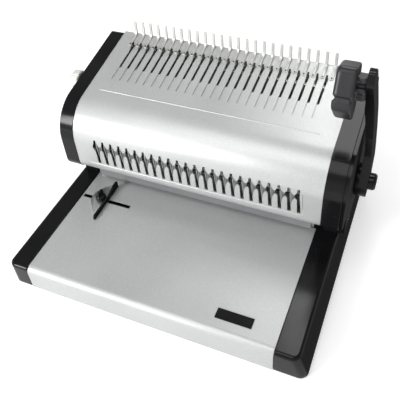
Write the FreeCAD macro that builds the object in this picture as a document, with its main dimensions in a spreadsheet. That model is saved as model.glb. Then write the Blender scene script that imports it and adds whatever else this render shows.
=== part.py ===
import FreeCAD, Part
import Sketcher
import os
import re

from FreeCAD import Placement, Rotation, Vector

# Desk machine that punches a row of rectangular holes in paper and opens a plastic comb to bind it.
# Lengths are millimetres and angles degrees. X runs to the handle side, Y to the rear and Z up.
# The pieces are drawn from the front face of the base and the middle of the tray.
# Each sub-part is then moved so that the origin lies under the middle of the whole machine.

SIZES = {
    # the row of holes
    "pitch": 14.2875,
    "hole_count": 24,
    "rack_mid_x": -1.5,
    "nose_mid_x": 6.0,
    "punch_mid_x": 0.0,
    # base
    "base_depth": 392.0,
    "base_floor_z": 3.0,
    "tray_top_z": 45.0,
    "tray_margin": 21.55,
    "tray_die_gap": 0.5,
    "tray_roll": 10.5,
    "sheet": 1.5,
    "rail_width": 34.0,
    "rail_proud": 1.0,
    "rail_flare": 12.0,
    "rail_flare_z": 14.0,
    "rail_corner": 12.0,
    "rail_edge": 6.0,
    "rail_wall": 2.5,
    "pan_gap": 1.5,
    "pan_roll_gap": 1.5,
    "pan_rear_gap": 4.0,
    "foot_radius": 11.0,
    "foot_from_side": 28.0,
    "foot_from_end": 26.0,
    # head
    "face_y": 183.5,
    "head_rear_y": 384.0,
    "rear_top_z": 234.3,
    "slope": 10.5,
    "head_left_margin": 4.0,
    "head_right_margin": 11.5,
    "nose_bottom_z": 86.0,
    "nose_round": 60.0,
    "chin_round": 20.0,
    "chin_reach": 31.5,
    "left_cap_width": 24.0,
    "right_cap_width": 25.5,
    "cap_proud": 1.0,
    "cap_wall": 2.5,
    "cap_leg_back": 38.5,
    "cap_rear_round": 8.0,
    "cap_inner_round": 10.0,
    "cap_panel_front_y": 213.0,
    "cap_panel_rise": 0.5,
    "brim_width": 5.5,
    "brim_drop": 3.0,
    "rear_panel_depth": 2.0,
    # slots and beads of the cover
    "slot_width": 4.0,
    "slot_front_y": 275.0,
    "slot_rear_y": 356.5,
    "backing_front_y": 269.0,
    "backing_rear_y": 304.0,
    "bead_radius": 1.3,
    "bead_rise": 0.6,
    "bead_y": 249.7,
    "bead_left_gap": 23.0,
    "bead_right_gap": 24.5,
    "nose_slot_top_z": 158.5,
    "nose_slot_low_z": 112.5,
    "lip_bead_z": 109.0,
    # comb rack
    "tine_width": 4.5,
    "tine_thick": 2.5,
    "tine_height": 25.0,
    "tine_lean": 10.5,
    "tine_from_rear": 3.0,
    "tine_foot": 28.0,
    "tine_foot_thick": 1.6,
    "rivet_radius": 1.2,
    "rivet_height": 0.7,
    "hook_thick": 3.0,
    "hook_height": 6.0,
    "hook_blade": 10.0,
    "hook_rear_gap": 1.5,
    "hook_back": 2.5,
    "rake_bar_depth": 20.0,
    "rake_bar_height": 8.0,
    "rake_under": 4.0,
    "rake_end_gap": 2.0,
    "rake_arm_thick": 5.0,
    "rail_block_height": 6.0,
    "rail_block_width": 14.0,
    "rake_finger": 25.0,
    "rake_finger_width": 8.0,
    # frames and shaft
    "frame_thick": 3.0,
    "frame_inset": 7.0,
    "frame_front_gap": 24.5,
    "frame_step_gap": 0.5,
    "frame_under": 10.0,
    "shaft_y": 272.0,
    "shaft_z": 121.0,
    "shaft_radius": 8.0,
    "shaft_clearance": 0.05,
    "bush_radius": 11.0,
    "bush_flange_radius": 14.0,
    "bush_flange": 2.0,
    "swing": 80.0,
    "tie_radius": 5.0,
    "low_tie_y": 305.0,
    "low_tie_z": 62.0,
    "rear_tie_y": 368.0,
    "rear_tie_z": 110.0,
    # cranks
    "crank_inset": 28.0,
    "crank_thick": 6.0,
    "crank_radius": 30.0,
    "rake_throw": 24.0,
    "rake_pin_radius": 4.0,
    "rake_play": 0.65,
    "rake_pin_length": 10.0,
    "arm_gap": 3.0,
    "punch_throw": 11.0,
    "eccentric_radius": 24.0,
    "eccentric_thick": 8.5,
    "punch_play": 0.35,
    "window_side_play": 1.0,
    # die set
    "punch_y": 240.0,
    "pin_width": 8.0,
    "pin_depth": 3.0,
    "pin_clearance": 0.08,
    "pin_tip_gap": 0.6,
    "die_front_y": 222.0,
    "die_rear_y": 262.0,
    "die_thick": 8.0,
    "paper_gap": 3.0,
    "stripper_thick": 8.0,
    "spacer_width": 10.0,
    "stop_front_y": 244.0,
    "stop_depth": 6.0,
    "bar_low_z": 81.5,
    "bar_height": 18.0,
    "bar_half_depth": 8.0,
    "bar_end_gap": 1.0,
    "rod_inset": 8.0,
    "rod_radius": 4.0,
    "rod_bush_radius": 5.5,
    "rod_clearance": 0.05,
    "rod_top_z": 126.0,
    "bracket_thick": 6.0,
    "bracket_width": 12.8,
    "spring_radius": 6.5,
    "spring_wire_width": 1.4,
    "spring_wire_height": 1.6,
    "spring_turns": 7,
    "spring_end_gap": 0.2,
    "yoke_thick": 6.0,
    "yoke_rim": 8.0,
    "guard_low_z": 49.0,
    "guard_top_z": 112.0,
    # drawer
    "drawer_inset": 18.0,
    "drawer_front_y": 198.0,
    "drawer_low_z": 6.5,
    "drawer_top_z": 33.0,
    "drawer_wall": 2.0,
    "drawer_gap": 1.0,
    "drawer_face": 3.0,
    "pull_half": 30.0,
    "pull_reach": 10.0,
    # handle
    "arm_foot_thick": 12.0,
    "arm_head_thick": 7.5,
    "arm_crank": 12.5,
    "arm_bend_z": 262.0,
    "hub_radius": 25.0,
    "hub_gap": 1.5,
    "hub_thick": 17.0,
    "washer_radius": 17.0,
    "pivot_cap_radius": 14.0,
    "pivot_cap_height": 11.0,
    "pivot_cap_edge": 2.5,
    "grip_width": 25.0,
    "neck_length": 12.0,
    "grip_edge": 5.0,
    "neck_rib_radius": 4.2,
    # opening stop knob
    "knob_y": 275.0,
    "knob_z": 198.5,
    "knob_radius": 18.0,
    "knob_boss_length": 5.0,
    "knob_thick": 15.0,
    "boss_radius": 12.0,
    "knob_shaft_radius": 4.0,
    "knob_edge": 3.0,
    "stop_cam_radius": 9.0,
    "stop_cam_offset": 3.0,
    "stop_cam_thick": 6.0,
    # paper side guide
    "guide_slot_y": 165.0,
    "guide_slot_width": 7.4,
    "guide_slot_inset": 2.0,
    "guide_slot_length": 88.0,
    "guide_wall_rest": 44.0,
    "guide_wall_front_y": 121.0,
    "guide_wall_rear_y": 201.0,
    "guide_wall_height": 8.0,
    "guide_wall_thick": 3.0,
    "guide_tab_height": 14.0,
    "guide_tab_length": 13.0,
    "guide_plate_thick": 2.0,
    "guide_screw_back": 10.0,
    "guide_screw_radius": 3.6,
    "guide_knob_radius": 8.5,
    "guide_knob_height": 17.0,
    "wing_half": 2.6,
    "guide_nut_half": 8.0,
    "guide_nut_height": 5.0,
    "guide_stud_height": 7.0,
    "guide_bore_room": 0.4,
    # bare plate
    "plate_mid_x": 129.0,
    "plate_mid_y": 31.0,
    "plate_width": 53.0,
    "plate_depth": 16.0,
    "plate_thick": 1.0,
    # screws
    "screw_head_radius": 3.6,
    "screw_head": 1.8,
}

doc = FreeCAD.newDocument("comb_binder")
sheet = doc.addObject("Spreadsheet::Sheet", "Sizes")
nodes = []

# sizes that follow from others, so that pieces that meet stay together
TIED = {
    "row_half": "hole_count * pitch / 2",
    "tray_half": "row_half + tray_margin",
    "tray_rear_y": "die_front_y - tray_die_gap",
    "pan_front_y": "tray_roll + pan_roll_gap",
    "head_left_x": "-tray_half - head_left_margin",
    "head_right_x": "tray_half + head_right_margin",
    "chin_end_y": "face_y + chin_reach",
    "cap_leg_y": "face_y + cap_leg_back",
    "bead_left_x": "head_left_x + bead_left_gap",
    "bead_right_x": "head_right_x - bead_right_gap",
    "frame_half": "tray_half - frame_inset",
    "frame_front_y": "face_y + frame_front_gap",
    "frame_step_y": "cap_leg_y + frame_step_gap",
    "crank_half": "frame_half - crank_inset",
    "rod_x": "frame_half - rod_inset",
    "drawer_half": "frame_half - drawer_inset",
    "brim_out_x": "head_right_x + right_cap_width + brim_width",
    "hub_inner_x": "brim_out_x + hub_gap",
    "arm_foot_outer_x": "hub_inner_x + hub_thick",
    "arm_foot_inner_x": "arm_foot_outer_x - arm_foot_thick",
    "arm_head_outer_x": "arm_foot_outer_x - arm_crank",
    "arm_head_inner_x": "arm_head_outer_x - arm_head_thick",
    "pivot_cap_end_x": "arm_foot_outer_x + pivot_cap_height",
    "grip_right_x": "arm_head_inner_x - neck_length",
    "grip_left_x": "grip_right_x - grip_width",
    "knob_inner_x": "head_left_x - left_cap_width - knob_boss_length",
    "knob_outer_x": "knob_inner_x - knob_thick",
    "guide_slot_left_x": "-tray_half + guide_slot_inset",
    "guide_slot_right_x": "guide_slot_left_x + guide_slot_length",
    "guide_wall_x": "guide_slot_left_x + guide_wall_rest",
    "guide_screw_x": "guide_wall_x - guide_screw_back",
}

# places that several pieces share, as sums of the sizes above
MID_X = "((pivot_cap_end_x + knob_outer_x) / 2)"
MID_Y = "((base_depth + drawer_face + pull_reach) / 2)"
RAIL_TOP = "(tray_top_z + rail_proud)"
TRAY_UNDER = "(tray_top_z - sheet)"
SIDE = "(tray_half + rail_width)"
PAN_HALF = "(tray_half - pan_gap)"
PAN_REAR = "(base_depth - pan_rear_gap)"
PAN_TOP = TRAY_UNDER
PAN_FLOOR_TOP = "(base_floor_z + sheet)"
CAP_LEFT_OUT = "(head_left_x - left_cap_width)"
CAP_RIGHT_OUT = "(head_right_x + right_cap_width)"
FRONT_TOP_Z = "(rear_top_z - (head_rear_y - face_y) * tan(slope))"
DIE_LOW = "(tray_top_z - die_thick)"
STRIPPER_LOW = "(tray_top_z + paper_gap)"
STRIPPER_TOP = "(tray_top_z + paper_gap + stripper_thick)"
ECCENTRIC_IN = "(crank_half + crank_thick)"
RAKE_BAR_LOW = "(-rake_under - rake_bar_height)"
# the shaft and the rest places of its pins, seen along the slope of the cover
SHAFT_V = "((shaft_y - head_rear_y) * cos(slope) + (shaft_z - rear_top_z) * sin(slope))"
SHAFT_N = "((shaft_z - rear_top_z) * cos(slope) - (shaft_y - head_rear_y) * sin(slope))"
RAKE_PIN_V = "(" + SHAFT_V + " + rake_throw * sin(swing / 2))"
RAKE_PIN_LOW = "(" + SHAFT_N + " + rake_throw * cos(swing / 2))"
RAKE_PIN_HIGH = "(" + SHAFT_N + " + rake_throw)"
HOOK_REAR = "((slot_rear_y - head_rear_y) / cos(slope) - hook_rear_gap)"
BAR_REAR = "(" + HOOK_REAR + " + 4)"
ECC_Y = "(shaft_y - punch_throw * cos(swing / 2))"
ECC_Z = "(shaft_z + punch_throw * sin(swing / 2))"


def fill_sheet():
    for row, (alias, value) in enumerate(SIZES.items(), start=1):
        sheet.set("A%d" % row, alias)
        sheet.set("B%d" % row, str(value))
        sheet.setAlias("B%d" % row, alias)
    doc.recompute()


def spelled(text):
    """The same formula with every tied size written out in the sizes that it follows."""
    return re.sub(r"[a-z_]+[a-z0-9_]*", lambda m: "(%s)" % spelled(TIED[m[0]]) if m[0] in TIED else m[0], str(text))


def linked(text):
    """The same formula with every size named as a cell of the sheet."""
    return re.sub(r"[a-z_]+[a-z0-9_]*", lambda m: "Sizes." + m[0] if m[0] in SIZES else m[0], spelled(text))


def value(text):
    """The present number of a formula."""
    return float(sheet.evalExpression(spelled(text)))


def bind(thing, prop, text):
    thing.setExpression(prop, linked(text))


def place(thing, x, y, z):
    bind(thing, "Placement.Base.x", x)
    bind(thing, "Placement.Base.y", y)
    bind(thing, "Placement.Base.z", z)


def box(name, x, y, z):
    """A block between pairs of formulas."""
    made = doc.addObject("Part::Box", name)
    bind(made, "Length", "(%s) - (%s)" % (x[1], x[0]))
    bind(made, "Width", "(%s) - (%s)" % (y[1], y[0]))
    bind(made, "Height", "(%s) - (%s)" % (z[1], z[0]))
    place(made, x[0], y[0], z[0])
    return made


def rod(name, axis, span, first, second, radius):
    """A round bar along one axis; first and second are its other two coordinates, in X, Y, Z order."""
    made = doc.addObject("Part::Cylinder", name)
    turn = {"X": Rotation(Vector(0, 1, 0), 90), "Y": Rotation(Vector(1, 0, 0), -90), "Z": Rotation()}[axis]
    made.Placement = Placement(Vector(), turn)
    bind(made, "Radius", radius)
    bind(made, "Height", "(%s) - (%s)" % (span[1], span[0]))
    where = {"X": (span[0], first, second), "Y": (first, span[0], second), "Z": (first, second, span[0])}[axis]
    place(made, *where)
    return made


def fuse(name, parts):
    made = doc.addObject("Part::MultiFuse", name)
    made.Shapes = parts
    made.Refine = True
    return made


def group(name, parts):
    made = doc.addObject("Part::Compound", name)
    made.Links = parts
    return made


def cut(name, base, tools):
    made = doc.addObject("Part::Cut", name)
    made.Base = base
    made.Tool = tools[0] if len(tools) == 1 else group(name + "_tools", tools)
    return made


def corner_edges(shape, axis, spot):
    """Names of the straight edges along an axis that stand on one corner of the outline."""
    found = []
    for number, edge in enumerate(shape.Edges, start=1):
        ends = [vertex.Point for vertex in edge.Vertexes]
        if len(ends) != 2:
            continue
        flat = [[p for k, p in enumerate(point) if k != axis] for point in ends]
        if all(abs(f[0] - spot[0]) < 0.01 and abs(f[1] - spot[1]) < 0.01 for f in flat):
            found.append("Edge%d" % number)
    return found


def prism(name, plane, points, low, high, rounds=None):
    """A body padded between two heights from a sketched outline; rounds gives corner numbers their radii."""
    body = doc.addObject("PartDesign::Body", name)
    sketch = body.newObject("Sketcher::SketchObject", name + "_outline")
    support = [feature for feature in body.Origin.OriginFeatures if feature.Role == plane + "_Plane"]
    sketch.AttachmentSupport = [(support[0], "")]
    sketch.MapMode = "FlatFace"
    bind(sketch, "AttachmentOffset.Base.z", "-(%s)" % high if plane == "XZ" else low)
    spots = [(value(u), value(v)) for u, v in points]
    count = len(spots)
    lines = [Part.LineSegment(Vector(*spots[k], 0), Vector(*spots[(k + 1) % count], 0)) for k in range(count)]
    sketch.addGeometry(lines, False)
    sketch.addConstraint([Sketcher.Constraint("Coincident", k, 2, (k + 1) % count, 1) for k in range(count)])
    for k, (u, v) in enumerate(points):
        for kind, text, now in (("DistanceX", u, spots[k][0]), ("DistanceY", v, spots[k][1])):
            index = sketch.addConstraint(Sketcher.Constraint(kind, k, 1, now))
            bind(sketch, "Constraints[%d]" % index, text)
    pad = body.newObject("PartDesign::Pad", name + "_pad")
    pad.Profile = sketch
    bind(pad, "Length", "(%s) - (%s)" % (high, low))
    sketch.Visibility = False
    doc.recompute()
    last = pad
    axis = {"YZ": 0, "XZ": 1, "XY": 2}[plane]
    for step, radius in enumerate(dict.fromkeys((rounds or {}).values())):
        edges = []
        for corner, wanted in rounds.items():
            if wanted == radius:
                edges += corner_edges(last.Shape, axis, spots[corner])
        last = round_edges(body, last, edges, radius, "%s_round%d" % (name, step))
    return body


def round_edges(body, base, edges, radius, name):
    fillet = body.newObject("PartDesign::Fillet", name)
    fillet.Base = (base, edges)
    bind(fillet, "Radius", radius)
    doc.recompute()
    body.Tip = fillet
    return fillet


def edges_at(shape, test):
    """Names of the edges whose every point passes a test of its place."""
    found = []
    for number, edge in enumerate(shape.Edges, start=1):
        if all(test(point) for point in edge.discretize(5)):
            found.append("Edge%d" % number)
    return found


def node(label, made, sloped=False):
    """Labels a finished sub-part and moves it from the drawing's places to the machine's own frame."""
    if made.isDerivedFrom("Part::Primitive") or made.Label in nodes:
        made = group(label + "_piece", [made])
    made.Label = label
    y = "-" + MID_Y
    z = "0"
    if sloped:
        made.Placement = Placement(Vector(), Rotation(Vector(1, 0, 0), value("slope")))
        bind(made, "Placement.Rotation.Angle", "slope")
        y = "head_rear_y - " + MID_Y
        z = "rear_top_z"
    place(made, "-" + MID_X, y, z)
    nodes.append(made)
    return made


def slot_x(index, middle):
    """Middle of one slot of a row, as a formula."""
    return "(%s + (%d - (hole_count - 1) / 2) * pitch)" % (middle, index)


def slope_z(y, under="0"):
    """Height of the cover's slope at a depth y, or a distance under it."""
    return "(rear_top_z - (head_rear_y - (%s)) * tan(slope) - (%s) / cos(slope))" % (y, under)


def holes():
    return range(int(SIZES["hole_count"]))


def base_pan():
    shell = box("pan_block", ("-" + PAN_HALF, PAN_HALF), ("pan_front_y", PAN_REAR), ("base_floor_z", PAN_TOP))
    room = box(
        "pan_room",
        ("-%s + sheet" % PAN_HALF, "%s - sheet" % PAN_HALF),
        ("pan_front_y + sheet", PAN_REAR + " - sheet"),
        (PAN_FLOOR_TOP, PAN_TOP + " + 1"),
    )
    mouth = box(
        "pan_mouth",
        ("-drawer_half - drawer_gap", "drawer_half + drawer_gap"),
        (PAN_REAR + " - 3 * sheet", PAN_REAR + " + 1"),
        ("drawer_low_z", "drawer_top_z + drawer_gap"),
    )
    node("base_pan", cut("pan_open", shell, [room, mouth]))


def tray_plate():
    outer = prism(
        "tray_outer",
        "YZ",
        [("0", "base_floor_z"), ("tray_rear_y", "base_floor_z"), ("tray_rear_y", "tray_top_z"), ("0", "tray_top_z")],
        "-tray_half",
        "tray_half",
        {3: "tray_roll"},
    )
    inner = prism(
        "tray_inner",
        "YZ",
        [
            ("sheet", "base_floor_z - 1"),
            ("tray_rear_y + 1", "base_floor_z - 1"),
            ("tray_rear_y + 1", TRAY_UNDER),
            ("sheet", TRAY_UNDER),
        ],
        "-tray_half - 1",
        "tray_half + 1",
        {3: "tray_roll - sheet"},
    )
    slot = box(
        "guide_slot",
        ("guide_slot_left_x", "guide_slot_right_x"),
        ("guide_slot_y - guide_slot_width / 2", "guide_slot_y + guide_slot_width / 2"),
        (TRAY_UNDER + " - 1", "tray_top_z + 1"),
    )
    node("tray_plate", cut("tray_sheet", outer, [inner, slot]))


def rail(label, side):
    """A moulded side rail; the one on the handle side spreads outwards to its foot."""
    flare = "rail_flare" if side > 0 else "0"
    flare_z = "rail_flare_z" if side > 0 else "base_floor_z + 1"
    sign = "" if side > 0 else "-"
    outline = [
        (sign + "tray_half", "base_floor_z"),
        ("%s(%s + %s)" % (sign, SIDE, flare), "base_floor_z"),
        ("%s(%s + %s)" % (sign, SIDE, flare), flare_z),
        (sign + SIDE, RAIL_TOP),
        (sign + "tray_half", RAIL_TOP),
    ]
    if side < 0:
        outline = [outline[k] for k in (1, 0, 4, 3)]
    body = prism(label + "_block", "XZ", outline, "0", "base_depth")
    pad = body.Tip
    far = value(SIDE) - 0.5
    ends = edges_at(
        pad.Shape,
        lambda p: abs(p.x) > far and (abs(p.y) < 0.01 or abs(p.y - value("base_depth")) < 0.01),
    )
    ends = [name for name in ends if abs(pad.Shape.getElement(name).Length) > 5]
    ends = [name for name in ends if abs(pad.Shape.getElement(name).tangentAt(0).z) > 0.5]
    corner = round_edges(body, pad, ends, "rail_corner", label + "_corner")
    top = value(RAIL_TOP)
    brow = edges_at(corner.Shape, lambda p: abs(p.z - top) < 0.01 and p.y < value("rail_corner") + 0.01)
    round_edges(body, corner, brow, "rail_edge", label + "_brow")
    low, high = ("-%s + rail_wall" % SIDE, "-tray_half - rail_wall")
    if side > 0:
        low, high = ("tray_half + rail_wall", SIDE + " - rail_wall")
    hollow = box(
        label + "_hollow",
        (low, high),
        ("rail_corner", "base_depth - rail_corner"),
        ("base_floor_z - 1", RAIL_TOP + " - rail_wall"),
    )
    node(label, cut(label + "_shell", body, [hollow]))


def rubber_feet():
    feet = []
    for k, x in enumerate(("-tray_half + foot_from_side", "tray_half - foot_from_side")):
        for m, y in enumerate(("foot_from_end", "base_depth - foot_from_end")):
            feet.append(rod("foot_%d%d" % (k, m), "Z", ("0", "base_floor_z"), x, y, "foot_radius"))
    node("rubber_feet", group("feet", feet))


def side_frame(label, low, high):
    outline = [
        ("frame_step_y", PAN_FLOOR_TOP),
        ("head_rear_y", PAN_FLOOR_TOP),
        ("head_rear_y", slope_z("head_rear_y", "frame_under")),
        ("face_y + nose_round", slope_z("face_y + nose_round", "frame_under")),
        ("frame_front_y", "nose_slot_top_z + 8"),
        ("frame_front_y", "nose_bottom_z + chin_round"),
        ("frame_step_y", "nose_bottom_z + 6"),
    ]
    plate = prism(label + "_plate", "YZ", outline, low, high)
    bore = rod(label + "_bore", "X", (low + " - 1", high + " + 1"), "shaft_y", "shaft_z", "bush_radius")
    tools = [bore]
    if label.startswith("left"):
        tools.append(
            rod(
                label + "_knob_bore",
                "X",
                (low + " - 1", high + " + 1"),
                "knob_y",
                "knob_z",
                "knob_shaft_radius + shaft_clearance",
            )
        )
    node(label, cut(label + "_cut", plate, tools))


def cover_solid(name, inset, low, high, rear, bottom_cut):
    """The cover's outline as a full block, drawn in by an inset of the sheet."""
    front = "(face_y + %s)" % inset
    outline = [
        (rear, bottom_cut),
        (rear, slope_z(rear, inset)),
        (front, slope_z(front, inset)),
        (front, "nose_bottom_z + %s" % inset),
        ("chin_end_y", "nose_bottom_z + %s" % inset),
        ("chin_end_y", bottom_cut),
    ]
    return prism(name, "YZ", outline, low, high, {2: "nose_round - %s" % inset, 3: "chin_round - %s" % inset})


def head_cover():
    """The silver sheet with its two rows of slots and its pressed beads."""
    block = prism(
        "cover_block",
        "YZ",
        [
            ("chin_end_y", "nose_bottom_z"),
            ("head_rear_y", "nose_bottom_z"),
            ("head_rear_y", "rear_top_z"),
            ("face_y", FRONT_TOP_Z),
            ("face_y", "nose_bottom_z"),
        ],
        "head_left_x",
        "head_right_x",
        {3: "nose_round", 4: "chin_round"},
    )
    room = cover_solid("cover_room", "sheet", "head_left_x - 1", "head_right_x + 1", "(head_rear_y + 2)", "(nose_bottom_z - 2)")
    shell = cut("cover_shell", block, [room])
    bead_n = ("bead_y", slope_z("bead_y", "bead_radius - bead_rise"))
    bead = rod("slope_bead", "X", ("bead_left_x", "bead_right_x"), bead_n[0], bead_n[1], "bead_radius")
    lip = rod(
        "lip_bead",
        "X",
        ("bead_left_x", "bead_right_x"),
        "face_y + bead_radius - bead_rise",
        "lip_bead_z",
        "bead_radius",
    )
    solid = fuse("cover_pressed", [shell, bead, lip])
    tools = []
    for k in holes():
        upper = slot_x(k, "rack_mid_x")
        tools.append(
            box(
                "top_slot_%02d" % (k + 1),
                (upper + " - slot_width / 2", upper + " + slot_width / 2"),
                ("slot_front_y", "slot_rear_y"),
                (slope_z("slot_front_y", "4 * sheet"), "rear_top_z + 1"),
            )
        )
        lower = slot_x(k, "nose_mid_x")
        tools.append(
            box(
                "nose_slot_%02d" % (k + 1),
                (lower + " - slot_width / 2", lower + " + slot_width / 2"),
                ("face_y - 1", "face_y + 2 * sheet"),
                ("nose_slot_low_z", "nose_slot_top_z"),
            )
        )
    node("head_cover", cut("cover_opened", solid, tools))


def cap_panel(label, low, high, rear):
    """The flat top of the handle's cheek, which ends in a step above the rounded front."""
    back = rear + " - cap_rear_round"
    under = "cap_wall - cap_proud"
    over = "-cap_proud - cap_panel_rise"
    outline = [
        ("cap_panel_front_y", slope_z("cap_panel_front_y", under)),
        (back, slope_z(back, under)),
        (back, slope_z(back, over)),
        ("cap_panel_front_y", slope_z("cap_panel_front_y", over)),
    ]
    return prism(label + "_panel", "YZ", outline, low, high)


def cap_brim(label, inner, rear, front):
    """The lower shoulder on the outside of the cheek that the handle turns on."""
    back = rear + " - brim_drop"
    nose = front + " + brim_drop"
    leg = "cap_leg_y + brim_drop"
    under = "brim_drop - cap_proud"
    outline = [
        (back, RAIL_TOP),
        (back, slope_z(back, under)),
        (nose, slope_z(nose, under)),
        (nose, "nose_bottom_z + " + under),
        (leg, "nose_bottom_z + " + under),
        (leg, RAIL_TOP),
    ]
    rounds = {
        2: "nose_round + cap_proud - brim_drop",
        3: "chin_round + cap_proud - brim_drop",
        1: "cap_rear_round - brim_drop",
        4: "cap_inner_round + brim_drop",
    }
    return prism(label + "_brim", "YZ", outline, inner, inner + " + brim_width", rounds)


def cap(label, low, high, outer):
    """A moulded cheek of the head, hollow towards the middle of the machine."""
    grow = "cap_proud"
    front = "(face_y - %s)" % grow
    rear = "(head_rear_y + rear_panel_depth)"
    outline = [
        (rear, RAIL_TOP),
        (rear, slope_z(rear, "-" + grow)),
        (front, slope_z(front, "-" + grow)),
        (front, "(nose_bottom_z - %s)" % grow),
        ("cap_leg_y", "(nose_bottom_z - %s)" % grow),
        ("cap_leg_y", RAIL_TOP),
    ]
    rounds = {2: "nose_round + cap_proud", 3: "chin_round + cap_proud", 1: "cap_rear_round", 4: "cap_inner_round"}
    solid = prism(label + "_block", "YZ", outline, low, high, rounds)
    if outer == "high":
        solid = fuse(
            label + "_solid", [solid, cap_panel(label, low, high, rear), cap_brim(label, high, rear, front)]
        )
    inside = [
        (rear + " - cap_wall", RAIL_TOP + " + cap_wall"),
        (rear + " - cap_wall", slope_z(rear + " - cap_wall", "cap_wall - cap_proud")),
        (front + " + cap_wall", slope_z(front + " + cap_wall", "cap_wall - cap_proud")),
        (front + " + cap_wall", "(nose_bottom_z - cap_proud + cap_wall)"),
        ("cap_leg_y + cap_wall", "(nose_bottom_z - cap_proud + cap_wall)"),
        ("cap_leg_y + cap_wall", RAIL_TOP + " + cap_wall"),
    ]
    inner_rounds = {
        2: "nose_round + cap_proud - cap_wall",
        3: "chin_round + cap_proud - cap_wall",
        1: "cap_rear_round - cap_wall",
        4: "cap_inner_round + cap_wall",
    }
    span = (low + " - 1", high + " - cap_wall") if outer == "high" else (low + " + cap_wall", high + " + 1")
    room = prism(label + "_room", "YZ", inside, span[0], span[1], inner_rounds)
    hole = ("shaft_y", "shaft_z", "shaft_radius + 2")
    if outer == "low":
        hole = ("knob_y", "knob_z", "knob_shaft_radius + shaft_clearance")
    bore = rod(label + "_bore", "X", (low + " - 1", high + " + brim_width + 1"), *hole)
    node(label, cut(label + "_shell", solid, [room, bore]))


def rear_panel():
    low_half = "(tray_half - pan_gap)"
    outline = [
        ("-" + low_half, TRAY_UNDER),
        (low_half, TRAY_UNDER),
        (low_half, RAIL_TOP),
        ("head_right_x", RAIL_TOP),
        ("head_right_x", "rear_top_z"),
        ("head_left_x", "rear_top_z"),
        ("head_left_x", RAIL_TOP),
        ("-" + low_half, RAIL_TOP),
    ]
    panel = prism("rear_sheet", "XZ", outline, "head_rear_y", "head_rear_y + rear_panel_depth")
    vents = []
    for k in range(7):
        x = "head_left_x + (%d + 1) * (head_right_x - head_left_x) / 8" % k
        vents.append(
            box(
                "vent_%d" % k,
                (x + " - 14", x + " + 14"),
                ("head_rear_y - 1", "head_rear_y + rear_panel_depth + 1"),
                ("nose_bottom_z", "nose_bottom_z + 4"),
            )
        )
    node("rear_panel", cut("rear_vented", panel, vents))


def slot_backing():
    sheet_low = "-2 * sheet"
    plate = box(
        "backing",
        (slot_x(0, "rack_mid_x") + " - pitch / 2", slot_x(int(SIZES["hole_count"]) - 1, "rack_mid_x") + " + pitch / 2"),
        ("(backing_front_y - head_rear_y) / cos(slope)", "(backing_rear_y - head_rear_y) / cos(slope)"),
        (sheet_low, "-sheet"),
    )
    node("slot_backing", plate, sloped=True)


def comb_tines():
    """The fixed upright fingers, one on each side of every slot, each on a foot riveted to the cover."""
    tines = []
    rivets = []
    top_v = "(-tine_from_rear + tine_height * tan(tine_lean))"
    for k in range(int(SIZES["hole_count"]) + 1):
        middle = slot_x(k, "rack_mid_x") + " - pitch / 2"
        tines.append(
            prism(
                "tine_%02d" % (k + 1),
                "YZ",
                [
                    ("-tine_from_rear - tine_foot", "0"),
                    ("-tine_from_rear + tine_thick", "0"),
                    (top_v + " + tine_thick * 0.8", "tine_height"),
                    (top_v + " + tine_thick * 0.2", "tine_height"),
                    ("-tine_from_rear", "4 * tine_foot_thick"),
                    ("-tine_from_rear - 2 * tine_foot_thick", "2 * tine_foot_thick"),
                    ("-tine_from_rear - 5 * tine_foot_thick", "tine_foot_thick"),
                    ("-tine_from_rear - tine_foot", "tine_foot_thick"),
                ],
                middle + " - tine_width / 2",
                middle + " + tine_width / 2",
            )
        )
        rivets.append(
            rod(
                "rivet_%02d" % (k + 1),
                "Z",
                ("tine_foot_thick", "tine_foot_thick + rivet_height"),
                middle,
                "-tine_from_rear - tine_foot + 3",
                "rivet_radius",
            )
        )
    node("comb_tines", group("tines", tines), sloped=True)
    node("tine_rivets", group("rivets", rivets), sloped=True)


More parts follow.
